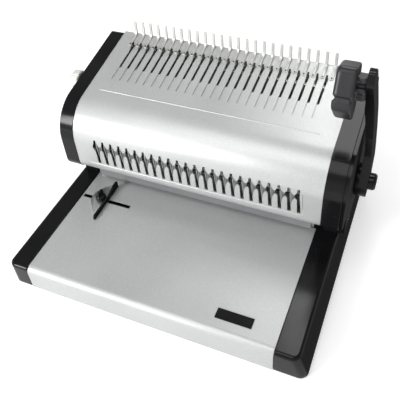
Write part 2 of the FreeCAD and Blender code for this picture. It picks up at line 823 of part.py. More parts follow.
def rake():
    """The sliding bar with the hooks that pull the comb open, and its two driven arms."""
    bar_front = "(%s - rake_bar_depth)" % BAR_REAR
    half = "(frame_half - rake_end_gap)"
    bar = box("rake_beam", ("-" + half, half), (bar_front, BAR_REAR), (RAKE_BAR_LOW, "-rake_under"))
    finger = box(
        "rake_stop_finger",
        ("-" + half, "-%s + rake_finger_width" % half),
        (bar_front + " - rake_finger", bar_front),
        (RAKE_BAR_LOW, "-rake_under - 2"),
    )
    node("rake_bar", fuse("rake_bar_solid", [bar, finger]), sloped=True)
    hooks = []
    for k in holes():
        middle = slot_x(k, "rack_mid_x")
        hooks.append(
            prism(
                "hook_%02d" % (k + 1),
                "YZ",
                [
                    (HOOK_REAR + " - hook_blade", "-rake_under"),
                    (HOOK_REAR, "-rake_under"),
                    (HOOK_REAR, "1"),
                    (HOOK_REAR + " + hook_back", "hook_height"),
                    (HOOK_REAR + " - 0.4 * hook_blade", "hook_height"),
                    (HOOK_REAR + " - 0.6 * hook_blade", "0.5 * hook_height"),
                    (HOOK_REAR + " - hook_blade", "0.4 * hook_height"),
                ],
                middle + " - hook_thick / 2",
                middle + " + hook_thick / 2",
            )
        )
    node("rake_hooks", group("hooks", hooks), sloped=True)
    arms = []
    for k, inner in enumerate(("-crank_half + arm_gap", "crank_half - arm_gap - rake_arm_thick")):
        plate = prism(
            "rake_arm_%d" % k,
            "YZ",
            [
                (BAR_REAR, RAKE_BAR_LOW),
                (bar_front, RAKE_BAR_LOW),
                (RAKE_PIN_V + " - 3 * rake_pin_radius + 2", RAKE_PIN_HIGH + " + 2.5 * rake_pin_radius"),
                (RAKE_PIN_V + " - 2.5 * rake_pin_radius", RAKE_PIN_HIGH + " + 2 * rake_pin_radius"),
                (RAKE_PIN_V + " - 2.5 * rake_pin_radius", RAKE_PIN_LOW + " - 2.2 * rake_pin_radius"),
                (RAKE_PIN_V + " + 3 * rake_pin_radius", RAKE_PIN_LOW + " - 2.2 * rake_pin_radius"),
                (BAR_REAR, RAKE_BAR_LOW + " - rake_bar_height"),
            ],
            inner,
            inner + " + rake_arm_thick",
        )
        slot = box(
            "rake_arm_slot_%d" % k,
            (inner + " - 1", inner + " + rake_arm_thick + 1"),
            (
                RAKE_PIN_V + " - rake_pin_radius - rake_play",
                RAKE_PIN_V + " + rake_pin_radius + rake_play",
            ),
            (RAKE_PIN_LOW + " - rake_pin_radius - rake_play", RAKE_PIN_HIGH + " + rake_pin_radius + rake_play"),
        )
        arms.append(cut("rake_arm_cut_%d" % k, plate, [slot]))
    node("rake_arms", group("rake_arm_pair", arms), sloped=True)
    rails = []
    rear_v = BAR_REAR + " + 1"
    front_v = "(%s - 2 * rake_throw * sin(swing / 2) - 1)" % bar_front
    for k, span in enumerate((("-frame_half", "-frame_half + rail_block_width"), ("frame_half - rail_block_width", "frame_half"))):
        rails.append(
            box("rake_rail_%d" % k, span, (front_v, rear_v), (RAKE_BAR_LOW + " - rail_block_height", RAKE_BAR_LOW))
        )
    node("rake_rails", group("rake_rail_pair", rails), sloped=True)


def shaft_train():
    """The main shaft with its two cranks, each a round web, a crank pin and an eccentric."""
    shaft = rod("shaft_bar", "X", ("-frame_half - frame_thick - 4", "arm_foot_outer_x"), "shaft_y", "shaft_z", "shaft_radius")
    node("main_shaft", shaft)
    pin_angle = "(90 + slope - swing / 2)"
    for label, side in (("left_crank", -1), ("right_crank", 1)):
        spans = [
            ("crank_half", "crank_half + crank_thick"),
            ("crank_half - rake_pin_length", "crank_half"),
            (ECCENTRIC_IN, ECCENTRIC_IN + " + eccentric_thick"),
        ]
        if side < 0:
            spans = [("-(%s)" % high, "-(%s)" % low) for low, high in spans]
        web = rod(label + "_web", "X", spans[0], "shaft_y", "shaft_z", "crank_radius")
        pin = rod(
            label + "_pin",
            "X",
            spans[1],
            "shaft_y + rake_throw * cos(%s)" % pin_angle,
            "shaft_z + rake_throw * sin(%s)" % pin_angle,
            "rake_pin_radius",
        )
        disc = rod(label + "_eccentric", "X", spans[2], ECC_Y, ECC_Z, "eccentric_radius")
        solid = fuse(label + "_solid", [web, pin, disc])
        bore_low, bore_high = (spans[1][0], spans[2][1]) if side > 0 else (spans[2][0], spans[1][1])
        bore = rod(label + "_bore", "X", (bore_low, bore_high), "shaft_y", "shaft_z", "shaft_radius")
        node(label, cut(label + "_bored", solid, [bore]))
    bushes = []
    for k, (wall, lip) in enumerate(
        (
            (("-frame_half - frame_thick", "-frame_half"), ("-frame_half", "-frame_half + bush_flange")),
            (("frame_half", "frame_half + frame_thick"), ("frame_half - bush_flange", "frame_half")),
        )
    ):
        sleeve = rod("bush_sleeve_%d" % k, "X", wall, "shaft_y", "shaft_z", "bush_radius")
        flange = rod("bush_flange_%d" % k, "X", lip, "shaft_y", "shaft_z", "bush_flange_radius")
        bore = rod(
            "bush_bore_%d" % k,
            "X",
            (wall[0] + " - 5", wall[1] + " + 5"),
            "shaft_y",
            "shaft_z",
            "shaft_radius + shaft_clearance",
        )
        bushes.append(cut("bush_%d" % k, fuse("bush_body_%d" % k, [sleeve, flange]), [bore]))
    node("shaft_bushes", group("bush_pair", bushes))


def tie_rods():
    span = ("-frame_half", "frame_half")
    low = rod("low_tie", "X", span, "low_tie_y", "low_tie_z", "tie_radius")
    rear = rod("rear_tie", "X", span, "rear_tie_y", "rear_tie_z", "tie_radius")
    node("tie_rods", group("ties", [low, rear]))


def pin_box(name, index, grow, z):
    middle = slot_x(index, "punch_mid_x")
    return box(
        name,
        ("%s - pin_width / 2 - %s" % (middle, grow), "%s + pin_width / 2 + %s" % (middle, grow)),
        ("punch_y - pin_depth / 2 - %s" % grow, "punch_y + pin_depth / 2 + %s" % grow),
        z,
    )


def die_set():
    """Die, stripper and the spacers between them, which leave the gap for the paper."""
    across = ("-frame_half", "frame_half")
    along = ("die_front_y", "die_rear_y")
    for label, low, high in (("die_plate", DIE_LOW, "tray_top_z"), ("stripper_plate", STRIPPER_LOW, STRIPPER_TOP)):
        plate = box(label + "_block", across, along, (low, high))
        tools = [pin_box("%s_hole_%02d" % (label, k + 1), k, "pin_clearance", (low + " - 1", high + " + 1")) for k in holes()]
        if label == "stripper_plate":
            for k, x in enumerate(("-rod_x", "rod_x")):
                tools.append(rod("stripper_rod_hole_%d" % k, "Z", (low + " - 1", high + " + 1"), x, "punch_y", "rod_radius"))
        node(label, cut(label + "_holed", plate, tools))
    spacers = [
        box("spacer_left", ("-frame_half", "-frame_half + spacer_width / 2"), along, ("tray_top_z", STRIPPER_LOW)),
        box("spacer_right", ("frame_half - spacer_width / 2", "frame_half"), along, ("tray_top_z", STRIPPER_LOW)),
    ]
    node("die_spacers", group("spacers", spacers))
    stop = box(
        "stop_bar",
        ("-frame_half + spacer_width", "frame_half - spacer_width"),
        ("stop_front_y", "stop_front_y + stop_depth"),
        ("tray_top_z", STRIPPER_LOW),
    )
    node("depth_stop", stop)
    guard = box(
        "guard_sheet",
        ("-frame_half", "frame_half"),
        ("chin_end_y", "chin_end_y + sheet"),
        ("guard_low_z", "guard_top_z"),
    )
    node("throat_guard", guard)
    rods = [
        rod("guide_rod_%d" % k, "Z", (STRIPPER_LOW, "rod_top_z"), x, "punch_y", "rod_radius")
        for k, x in enumerate(("-rod_x", "rod_x"))
    ]
    node("guide_rods", group("rod_pair", rods))
    brackets = []
    for k, span in enumerate((("-frame_half", "-frame_half + bracket_width"), ("frame_half - bracket_width", "frame_half"))):
        block = box(
            "bracket_block_%d" % k,
            span,
            ("punch_y - bracket_width", "punch_y + bracket_width / 2"),
            ("rod_top_z - bracket_thick", "rod_top_z"),
        )
        x = ("-rod_x", "rod_x")[k]
        hole = rod("bracket_hole_%d" % k, "Z", ("rod_top_z - bracket_thick - 1", "rod_top_z + 1"), x, "punch_y", "rod_radius")
        brackets.append(cut("bracket_%d" % k, block, [hole]))
    node("rod_brackets", group("bracket_pair", brackets))


def punch():
    """The punch bar with its row of pins, guide bushes and the two window yokes that drive it."""
    half = "(frame_half - bar_end_gap)"
    bar = box(
        "bar_block",
        ("-" + half, half),
        ("punch_y - bar_half_depth", "punch_y + bar_half_depth"),
        ("bar_low_z", "bar_low_z + bar_height"),
    )
    bores = [
        rod("bar_bore_%d" % k, "Z", ("bar_low_z - 1", "bar_low_z + bar_height + 1"), x, "punch_y", "rod_bush_radius")
        for k, x in enumerate(("-rod_x", "rod_x"))
    ]
    node("punch_bar", cut("bar_bored", bar, bores))
    bushes = []
    for k, x in enumerate(("-rod_x", "rod_x")):
        sleeve = rod("rod_bush_sleeve_%d" % k, "Z", ("bar_low_z", "bar_low_z + bar_height"), x, "punch_y", "rod_bush_radius")
        bore = rod(
            "rod_bush_bore_%d" % k,
            "Z",
            ("bar_low_z - 1", "bar_low_z + bar_height + 1"),
            x,
            "punch_y",
            "rod_radius + rod_clearance",
        )
        bushes.append(cut("rod_bush_%d" % k, sleeve, [bore]))
    node("rod_bushes", group("rod_bush_pair", bushes))
    pins = [pin_box("pin_%02d" % (k + 1), k, "0", (STRIPPER_LOW + " + pin_tip_gap", "bar_low_z")) for k in holes()]
    node("punch_pins", group("pins", pins))
    yokes = []
    bar_top = "(bar_low_z + bar_height)"
    rear = "(punch_y + bar_half_depth)"
    window_front = "(shaft_y - punch_throw - eccentric_radius - window_side_play)"
    window_rear = "(%s + eccentric_radius + window_side_play)" % ECC_Y
    window_low = "(%s - eccentric_radius - punch_play)" % ECC_Z
    window_top = "(%s + eccentric_radius + punch_play)" % ECC_Z
    for k, side in enumerate((-1, 1)):
        low = ECCENTRIC_IN + " + 1.5" if side > 0 else "-(%s + 1.5 + yoke_thick)" % ECCENTRIC_IN
        outline = [
            (rear, "bar_low_z"),
            (rear + " + 14", "bar_low_z"),
            (rear + " + 14", window_low + " - yoke_rim"),
            (window_rear + " + yoke_rim", window_low + " - yoke_rim"),
            (window_rear + " + yoke_rim", window_top + " + yoke_rim"),
            (window_front + " - yoke_rim", window_top + " + yoke_rim"),
            (window_front + " - yoke_rim", bar_top),
            (rear, bar_top),
        ]
        plate = prism("yoke_plate_%d" % k, "YZ", outline, low, low + " + yoke_thick")
        window = box(
            "yoke_window_%d" % k,
            (low + " - 1", low + " + yoke_thick + 1"),
            (window_front, window_rear),
            (window_low, window_top),
        )
        yokes.append(cut("yoke_%d" % k, plate, [window]))
    node("punch_yokes", group("yoke_pair", yokes))


def return_springs():
    """Two die springs of square wire round the guide rods, which lift the punch bar."""
    low = value(STRIPPER_TOP + " + spring_end_gap")
    high = value("bar_low_z - spring_end_gap")
    wide = value("spring_wire_width") / 2
    tall = value("spring_wire_height") / 2
    radius = value("spring_radius")
    climb = high - low - 2 * tall
    pitch = climb / value("spring_turns")
    coils = []
    for x in ("-rod_x", "rod_x"):
        path = Part.makeHelix(pitch, climb, radius)
        corners = [(-wide, -tall), (wide, -tall), (wide, tall), (-wide, tall), (-wide, -tall)]
        section = Part.makePolygon([Vector(radius + across, 0, up) for across, up in corners])
        coil = Part.Wire(path).makePipeShell([section], True, True)
        coil.translate(Vector(value(x), value("punch_y"), low + tall))
        coils.append(coil)
    springs = doc.addObject("Part::Feature", "spring_pair")
    springs.Shape = Part.makeCompound(coils)
    node("return_springs", springs)


def drawer():
    """The tray for the punched chips, which pulls out at the back, and the strips that it runs on."""
    rear = "base_depth"
    block = box(
        "drawer_block",
        ("-drawer_half", "drawer_half"),
        ("drawer_front_y", rear),
        ("drawer_low_z", "drawer_top_z"),
    )
    room = box(
        "drawer_room",
        ("-drawer_half + drawer_wall", "drawer_half - drawer_wall"),
        ("drawer_front_y + drawer_wall", rear + " - drawer_wall"),
        ("drawer_low_z + drawer_wall", "drawer_top_z + 1"),
    )
    node("chip_drawer", cut("drawer_open", block, [room]))
    face = box(
        "drawer_face_plate",
        ("-drawer_half - 3 * drawer_gap", "drawer_half + 3 * drawer_gap"),
        (rear, rear + " + drawer_face"),
        ("drawer_low_z - 1", "drawer_top_z + 2 * drawer_gap"),
    )
    pull = box(
        "drawer_pull_lip",
        ("-pull_half", "pull_half"),
        (rear + " + drawer_face", rear + " + drawer_face + pull_reach"),
        ("drawer_top_z - 8", "drawer_top_z - 5"),
    )
    node("drawer_front", fuse("drawer_front_solid", [face, pull]))
    strips = [
        box("strip_%d" % k, span, ("drawer_front_y", "head_rear_y"), (PAN_FLOOR_TOP, "drawer_low_z"))
        for k, span in enumerate((("-drawer_half", "-drawer_half + 12"), ("drawer_half - 12", "drawer_half")))
    ]
    node("drawer_runners", group("strips", strips))


def handle():
    """The bowed and cranked arm on the end of the shaft, the paddle grip on its top and the caps at its pivot."""
    rim = [
        ("shaft_y + 25", "shaft_z"),
        ("shaft_y + 31", "shaft_z + 44"),
        ("shaft_y + 28", "shaft_z + 84"),
        ("shaft_y + 18", "shaft_z + 129"),
        ("shaft_y - 2", "shaft_z + 174"),
        ("shaft_y - 18", "shaft_z + 206"),
        ("shaft_y - 28", "shaft_z + 214"),
        ("shaft_y - 40", "shaft_z + 214"),
        ("shaft_y - 48", "shaft_z + 197"),
        ("shaft_y - 27", "shaft_z + 164"),
        ("shaft_y - 13", "shaft_z + 124"),
        ("shaft_y - 9", "shaft_z + 89"),
        ("shaft_y - 11", "shaft_z + 54"),
        ("shaft_y - 24", "shaft_z + 8"),
    ]
    soft = {1: "60", 2: "60", 3: "60", 4: "60", 5: "6", 6: "6", 7: "6", 8: "10", 9: "60", 10: "60", 11: "40", 12: "40"}
    blade = prism("arm_blade", "YZ", rim, "arm_head_inner_x", "arm_foot_outer_x", soft)
    crank = prism(
        "arm_crank",
        "XZ",
        [
            ("arm_foot_outer_x", "shaft_z - hub_radius - 5"),
            ("arm_foot_outer_x", "shaft_z + 30"),
            ("arm_head_outer_x + 3.5", "shaft_z + 169"),
            ("arm_head_outer_x", "shaft_z + 230"),
            ("arm_head_inner_x", "shaft_z + 230"),
            ("arm_head_inner_x", "arm_bend_z"),
            ("arm_foot_inner_x", "arm_bend_z - 72"),
            ("arm_foot_inner_x", "shaft_z - hub_radius - 5"),
        ],
        "shaft_y - 80",
        "shaft_y + 50",
    )
    bent = doc.addObject("Part::MultiCommon", "arm_bent")
    bent.Shapes = [blade, crank]
    hub = rod("arm_hub", "X", ("hub_inner_x", "arm_foot_outer_x"), "shaft_y", "shaft_z", "hub_radius")
    bore = rod("arm_bore", "X", ("hub_inner_x - 1", "arm_foot_outer_x + 1"), "shaft_y", "shaft_z", "shaft_radius")
    node("handle_arm", cut("arm_bored", fuse("arm_solid", [bent, hub]), [bore]))
    washer = rod("washer_disc", "X", ("brim_out_x + 0.3", "hub_inner_x"), "shaft_y", "shaft_z", "washer_radius")
    eye = rod("washer_eye", "X", ("brim_out_x", "hub_inner_x + 1"), "shaft_y", "shaft_z", "shaft_radius")
    node("pivot_washer", cut("washer_ring", washer, [eye]))
    disc = rod("cap_disc", "X", ("arm_foot_outer_x", "pivot_cap_end_x"), "shaft_y", "shaft_z", "pivot_cap_radius")
    dome = doc.addObject("Part::Fillet", "cap_dome")
    dome.Base = disc
    doc.recompute()
    far = value("pivot_cap_end_x")
    rims = edges_at(disc.Shape, lambda p: abs(p.x - far) < 0.01)
    dome.Edges = [(int(name[4:]), value("pivot_cap_edge"), value("pivot_cap_edge")) for name in rims]
    node("pivot_cap", dome)
    paddle = prism(
        "grip_paddle",
        "YZ",
        [
            ("shaft_y - 10", "shaft_z + 209"),
            ("shaft_y - 48", "shaft_z + 222"),
            ("shaft_y - 65", "shaft_z + 187"),
            ("shaft_y - 68", "shaft_z + 170"),
            ("shaft_y - 36", "shaft_z + 133"),
            ("shaft_y - 16", "shaft_z + 141"),
            ("shaft_y - 6", "shaft_z + 179"),
        ],
        "grip_left_x",
        "grip_right_x",
        {0: "10", 1: "9", 2: "20", 3: "14", 4: "9", 5: "12", 6: "20"},
    )
    ends = edges_at(paddle.Tip.Shape, lambda p: abs(p.x - value("grip_left_x")) < 0.01)
    round_edges(paddle, paddle.Tip, ends, "grip_edge", "grip_soft")
    neck = prism(
        "grip_neck",
        "YZ",
        [
            ("shaft_y - 16", "shaft_z + 196"),
            ("shaft_y - 40", "shaft_z + 205"),
            ("shaft_y - 46", "shaft_z + 180"),
            ("shaft_y - 26", "shaft_z + 160"),
            ("shaft_y - 14", "shaft_z + 166"),
        ],
        "grip_right_x",
        "arm_head_inner_x",
    )
    ribs = [
        rod("neck_rib_%d" % k, "X", ("grip_right_x", "arm_head_inner_x"), y, z, "neck_rib_radius")
        for k, (y, z) in enumerate(
            (
                ("shaft_y - 42", "shaft_z + 202"),
                ("shaft_y - 45", "shaft_z + 189"),
                ("shaft_y - 41", "shaft_z + 176"),
            )
        )
    ]
    node("handle_grip", fuse("grip_solid", [paddle, neck] + ribs))


def stop_knob():
    """The round knob on the left cheek and the eccentric that it turns in front of the rake's stop finger."""
    disc = rod("knob_disc", "X", ("knob_outer_x", "knob_inner_x"), "knob_y", "knob_z", "knob_radius")
    soft = doc.addObject("Part::Fillet", "knob_soft")
    soft.Base = disc
    doc.recompute()
    rims = edges_at(disc.Shape, lambda p: abs(p.x - value("knob_outer_x")) < 0.01)
    soft.Edges = [(int(name[4:]), value("knob_edge"), value("knob_edge")) for name in rims]
    bore = rod("knob_bore", "X", ("knob_inner_x - 8", "knob_inner_x + 1"), "knob_y", "knob_z", "knob_shaft_radius")
    node("stop_knob", cut("knob_bored", soft, [bore]))
    boss = rod("boss_disc", "X", (CAP_LEFT_OUT + " - 4.7", CAP_LEFT_OUT), "knob_y", "knob_z", "boss_radius")
    hole = rod("boss_hole", "X", (CAP_LEFT_OUT + " - 6", CAP_LEFT_OUT + " + 1"), "knob_y", "knob_z", "knob_shaft_radius + shaft_clearance")
    node("knob_boss", cut("boss_ring", boss, [hole]))
    cam_right = "(-frame_half + rake_end_gap + stop_cam_thick)"
    shaft = rod("knob_bar", "X", ("knob_inner_x - 8", cam_right), "knob_y", "knob_z", "knob_shaft_radius")
    node("knob_shaft", shaft)
    cam = rod(
        "cam_disc",
        "X",
        (cam_right + " - stop_cam_thick", cam_right),
        "knob_y",
        "knob_z - stop_cam_offset",
        "stop_cam_radius",
    )
    eye = rod("cam_eye", "X", (cam_right + " - stop_cam_thick - 1", cam_right + " + 1"), "knob_y", "knob_z", "knob_shaft_radius")
    node("stop_cam", cut("cam_ring", cam, [eye]))


def side_guide():
    """The paper side guide: a plate and wall that slide on the tray, clamped by a winged knob through the slot."""
    top = "tray_top_z"
    plate_top = "(tray_top_z + guide_plate_thick)"
    plate = prism(
        "guide_sole",
        "XY",
        [
            ("guide_wall_x", "guide_wall_front_y + 2"),
            ("guide_wall_x", "guide_wall_rear_y - 4"),
            ("guide_wall_x - 14", "guide_wall_rear_y - 6"),
            ("guide_wall_x - 27", "guide_slot_y + 10"),
            ("guide_wall_x - 27", "guide_slot_y - 8"),
            ("guide_wall_x - 12", "guide_wall_front_y + 18"),
        ],
        top,
        plate_top,
        {2: "8", 3: "12", 4: "12"},
    )
    hole = rod("sole_hole", "Z", (top + " - 1", plate_top + " + 1"), "guide_screw_x", "guide_slot_y", "guide_screw_radius + shaft_clearance")
    node("guide_plate", cut("sole_holed", plate, [hole]))
    wall = prism(
        "guide_upright",
        "YZ",
        [
            ("guide_wall_front_y", top),
            ("guide_wall_rear_y", top),
            ("guide_wall_rear_y", "tray_top_z + guide_tab_height"),
            ("guide_wall_rear_y - guide_tab_length", "tray_top_z + guide_tab_height"),
            ("guide_wall_rear_y - 2 * guide_tab_length", "tray_top_z + guide_wall_height"),
            ("guide_wall_front_y", "tray_top_z + guide_wall_height"),
        ],
        "guide_wall_x",
        "guide_wall_x + guide_wall_thick",
        {2: "4", 3: "5", 5: "4"},
    )
    node("guide_wall", wall)
    nut = box(
        "nut_block",
        ("guide_screw_x - guide_nut_half", "guide_screw_x + guide_nut_half"),
        ("guide_slot_y - guide_nut_half", "guide_slot_y + guide_nut_half"),
        (TRAY_UNDER + " - guide_nut_height", TRAY_UNDER),
    )
    stud_top = "(%s + guide_stud_height)" % plate_top
    stud = rod(
        "nut_stud",
        "Z",
        (TRAY_UNDER + " - guide_nut_height", stud_top),
        "guide_screw_x",
        "guide_slot_y",
        "guide_screw_radius",
    )
    node("guide_nut", fuse("nut_with_stud", [nut, stud]))
    drum = rod(
        "wing_drum",
        "Z",
        (plate_top, plate_top + " + 0.6 * guide_knob_height"),
        "guide_screw_x",
        "guide_slot_y",
        "guide_knob_radius",
    )
    wing = box(
        "wing_bar",
        ("guide_screw_x - wing_half", "guide_screw_x + wing_half"),
        ("guide_slot_y - 0.95 * guide_knob_radius", "guide_slot_y + 0.95 * guide_knob_radius"),
        (plate_top, plate_top + " + guide_knob_height"),
    )
    bore = rod(
        "wing_bore",
        "Z",
        (plate_top + " - 1", stud_top + " + guide_bore_room"),
        "guide_screw_x",
        "guide_slot_y",
        "guide_screw_radius + shaft_clearance",
    )
    node("guide_knob", cut("wing_bored", fuse("wing_solid", [drum, wing]), [bore]))


def bare_plate():
    plate = box(
        "plate_block",
        ("plate_mid_x - plate_width / 2", "plate_mid_x + plate_width / 2"),
        ("plate_mid_y - plate_depth / 2", "plate_mid_y + plate_depth / 2"),
        ("tray_top_z", "tray_top_z + plate_thick"),
    )
    node("bare_plate", plate)


def screws():
    """Screw heads on the cheeks, on the rear panel and under the base."""
    spots = [("head_rear_y - 24", "nose_bottom_z + 100"), ("head_rear_y - 24", "tray_top_z + 22"), ("cap_leg_y + 18", "tray_top_z + 22")]
    heads = []
    for side, (low, high) in enumerate(
        (
            (CAP_LEFT_OUT + " - screw_head", CAP_LEFT_OUT),
            ("brim_out_x", "brim_out_x + screw_head"),
        )
    ):
        for k, (y, z) in enumerate(spots):
            heads.append(rod("cap_screw_%d%d" % (side, k), "X", (low, high), y, z, "screw_head_radius"))
    node("cap_screws", group("cap_screw_heads", heads))
    heads = []
    for k, x in enumerate(("head_left_x + 16", "head_right_x - 16")):
        for m, z in enumerate(("nose_bottom_z - 20", "nose_bottom_z + 110")):
            y = "(head_rear_y + rear_panel_depth)"
            heads.append(rod("rear_screw_%d%d" % (k, m), "Y", (y, y + " + screw_head"), x, z, "screw_head_radius"))
    node("rear_screws", group("rear_screw_heads", heads))
    heads = []
    for k, x in enumerate(("-tray_half + 12", "tray_half - 12")):
        for m, y in enumerate(("base_depth / 4", "base_depth / 2", "3 * base_depth / 4")):
            heads.append(rod("pan_screw_%d%d" % (k, m), "Z", ("base_floor_z - screw_head", "base_floor_z"), x, y, "screw_head_radius"))
    node("pan_screws", group("pan_screw_heads", heads))


def check_and_write():
    """Stops on any failed object, then writes one file per sub-part."""
    doc.recompute()
    for made in doc.Objects:
        if "Invalid" in made.State or "Error" in made.State:
            raise RuntimeError("%s failed: %s" % (made.Name, made.State))
    os.makedirs("parts", exist_ok=True)
    for made in nodes:
        shape = made.Shape
        if shape.isNull() or not shape.isValid() or not shape.Solids:
            raise RuntimeError("%s has no valid solid" % made.Label)
        shape.exportStep("parts/%s.step" % made.Label)
        reach = shape.BoundBox
        print("%-16s %2d solids, %.1f x %.1f x %.1f mm" % (
            made.Label, len(shape.Solids), reach.XLength, reach.YLength, reach.ZLength))


fill_sheet()
base_pan()
tray_plate()
rail("left_rail", -1)
rail("right_rail", 1)
rubber_feet()
side_frame("left_side_frame", "-frame_half - frame_thick", "-frame_half")
side_frame("right_side_frame", "frame_half", "frame_half + frame_thick")
head_cover()
cap("left_cap", CAP_LEFT_OUT, "head_left_x", "low")
cap("right_cap", "head_right_x", CAP_RIGHT_OUT, "high")
rear_panel()
slot_backing()
comb_tines()
rake()
shaft_train()
tie_rods()
die_set()
punch()
return_springs()
drawer()
handle()
stop_knob()
side_guide()
bare_plate()
screws()
check_and_write()
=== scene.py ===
# %% [markdown]
# # A comb binding machine, dressed for a studio picture
#
# The solids of the machine come ready from CAD, in metres, with Z up and the front towards -Y.
# Here they get finishes, and the pieces that are seen close up get the soft edges, openings and
# flutes that plain solids lack. Every new piece rides on the body of the solid that it belongs
# with, so it stays on the part that carries it when a joint moves.

from math import atan2, cos, pi, radians, sin, sqrt

import bmesh
import bpy
from mathutils import Matrix, Vector


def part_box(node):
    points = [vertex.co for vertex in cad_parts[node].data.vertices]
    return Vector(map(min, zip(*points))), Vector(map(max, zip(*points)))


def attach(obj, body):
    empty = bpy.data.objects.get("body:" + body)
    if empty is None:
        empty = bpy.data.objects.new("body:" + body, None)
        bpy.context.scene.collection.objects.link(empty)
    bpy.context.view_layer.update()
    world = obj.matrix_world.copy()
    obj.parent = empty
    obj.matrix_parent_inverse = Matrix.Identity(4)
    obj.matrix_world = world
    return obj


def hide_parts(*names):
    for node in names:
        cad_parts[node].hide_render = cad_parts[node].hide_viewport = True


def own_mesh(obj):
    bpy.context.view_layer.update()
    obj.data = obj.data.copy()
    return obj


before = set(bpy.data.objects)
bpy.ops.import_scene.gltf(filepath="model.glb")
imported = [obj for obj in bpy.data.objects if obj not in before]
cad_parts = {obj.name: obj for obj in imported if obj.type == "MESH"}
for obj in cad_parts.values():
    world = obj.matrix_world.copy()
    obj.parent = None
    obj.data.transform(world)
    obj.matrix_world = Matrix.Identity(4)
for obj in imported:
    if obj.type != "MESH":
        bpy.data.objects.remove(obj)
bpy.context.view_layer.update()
MM = 0.001

# %% [markdown]
# ## Camera
# The camera stands in front of the machine, to its right, and looks down at about 42 degrees.
# A camera in Blender looks along its own -Z with Y up, so its axes are written as columns:
# right, up and backwards. The picture is cut from the lower part of a larger view, which is
# what the vertical shift stands for.

# %% Camera
camera_data = bpy.data.cameras.new("camera")
camera_data.sensor_width = 36.0
camera_data.lens = 51.65
camera_data.shift_x = -0.0038
camera_data.shift_y = -0.1274
camera = bpy.data.objects.new("camera", camera_data)
bpy.context.scene.collection.objects.link(camera)
to_right = Vector((0.92138663, 0.38339196, -0.06369673))
to_up = Vector((-0.21169607, 0.63253886, 0.74503649))
to_back = Vector((0.32593166, -0.67298232, 0.66397542))
camera.matrix_world = Matrix.Translation((0.28084, -0.56710, 0.73546)) @ Matrix(
    (to_right, to_up, to_back)
).transposed().to_4x4()
bpy.context.scene.camera = camera
bpy.context.scene.view_settings.view_transform = "Standard"
print("camera at", [round(x, 3) for x in camera.location])

# %% [markdown]
# ## Light
# A soft box stands in front, to the left: the round nose shows it as a white band, and the glossy
# cheek beside it as a short highlight. A small one hangs high behind, where the flat tops of the
# handle's cheek and rail mirror it, and a wide one above fills the tray. The world stands for the
# white walls of the studio, bright near the horizon and greyer overhead, so that black stays black.

# %% Light


def soft_lamp(name, place, target, size, power):
    """A lamp with a rectangular face that looks at a target."""
    data = bpy.data.lights.new(name, "AREA")
    data.shape = "RECTANGLE"
    data.size, data.size_y = size
    data.energy = power
    lamp = bpy.data.objects.new(name, data)
    bpy.context.scene.collection.objects.link(lamp)
    lamp.location = place
    lamp.rotation_euler = (Vector(target) - Vector(place)).to_track_quat("-Z", "Y").to_euler()


soft_lamp("front_lamp", (-1.05, -1.60, 0.85), (0, 0, 0.15), (0.62, 0.76), 36)
soft_lamp("rear_lamp", (0.10, 0.68, 1.24), (0.15, 0.0, 0.1), (0.36, 0.5), 4.2)
soft_lamp("top_lamp", (-0.3, -0.9, 2.0), (0, 0, 0.1), (1.4, 1.2), 17)

world = bpy.data.worlds.new("studio")
bpy.context.scene.world = world
world.use_nodes = True
air = world.node_tree
background = air.nodes["Background"]
towards = air.nodes.new("ShaderNodeTexCoord")
upward = air.nodes.new("ShaderNodeSeparateXYZ")
walls = air.nodes.new("ShaderNodeMapRange")
walls.interpolation_type = "SMOOTHSTEP"
walls.inputs["From Min"].default_value = 0.22
walls.inputs["From Max"].default_value = 0.55
walls.inputs["To Min"].default_value = 0.95
walls.inputs["To Max"].default_value = 0.34
air.links.new(towards.outputs["Generated"], upward.inputs["Vector"])
air.links.new(upward.outputs["Z"], walls.inputs["Value"])
air.links.new(walls.outputs["Result"], background.inputs["Strength"])
background.inputs["Color"].default_value = (1.0, 1.0, 1.0, 1.0)

# %% [markdown]
# ## Floor
# A pale sheet that runs far past the picture. It adds a little white for what the camera sees, by
# itself or in a mirror, so that it reads as a white background and keeps the machine's shadow.

# %% Floor
FLOOR_REACH = 6.0


def stored(name, shape):
    """Puts a bmesh into the scene as an object and frees it."""
    mesh = bpy.data.meshes.new(name)
    shape.to_mesh(mesh)
    shape.free()
    thing = bpy.data.objects.new(name, mesh)
    bpy.context.scene.collection.objects.link(thing)
    return thing


floor_shape = bmesh.new()
bmesh.ops.create_grid(floor_shape, x_segments=1, y_segments=1, size=FLOOR_REACH)
floor = stored("floor", floor_shape)
print("floor reaches", FLOOR_REACH, "m each way")

# %% [markdown]
# The paper's glow is only for rays from the camera and for those that a glossy or clear surface
# sends on, so the floor lights the machine no more than paper would.

# %% Floor finish
floor_finish = bpy.data.materials.new("floor_paper")
floor_finish.use_nodes = True
paper = floor_finish.node_tree
paper_shader = paper.nodes["Principled BSDF"]
paper_shader.inputs["Base Color"].default_value = (0.72, 0.72, 0.72, 1.0)
paper_shader.inputs["Roughness"].default_value = 0.9
paper_shader.inputs["Specular IOR Level"].default_value = 0.1
paper_shader.inputs["Emission Color"].default_value = (1.0, 1.0, 1.0, 1.0)
rays = paper.nodes.new("ShaderNodeLightPath")
mirrored = paper.nodes.new("ShaderNodeMath")
mirrored.operation = "MAXIMUM"
seen = paper.nodes.new("ShaderNodeMath")
seen.operation = "MAXIMUM"
lift = paper.nodes.new("ShaderNodeMath")
lift.operation = "MULTIPLY"
lift.inputs[1].default_value = 0.47
paper.links.new(rays.outputs["Is Glossy Ray"], mirrored.inputs[0])
paper.links.new(rays.outputs["Is Transmission Ray"], mirrored.inputs[1])
paper.links.new(rays.outputs["Is Camera Ray"], seen.inputs[0])
paper.links.new(mirrored.outputs[0], seen.inputs[1])
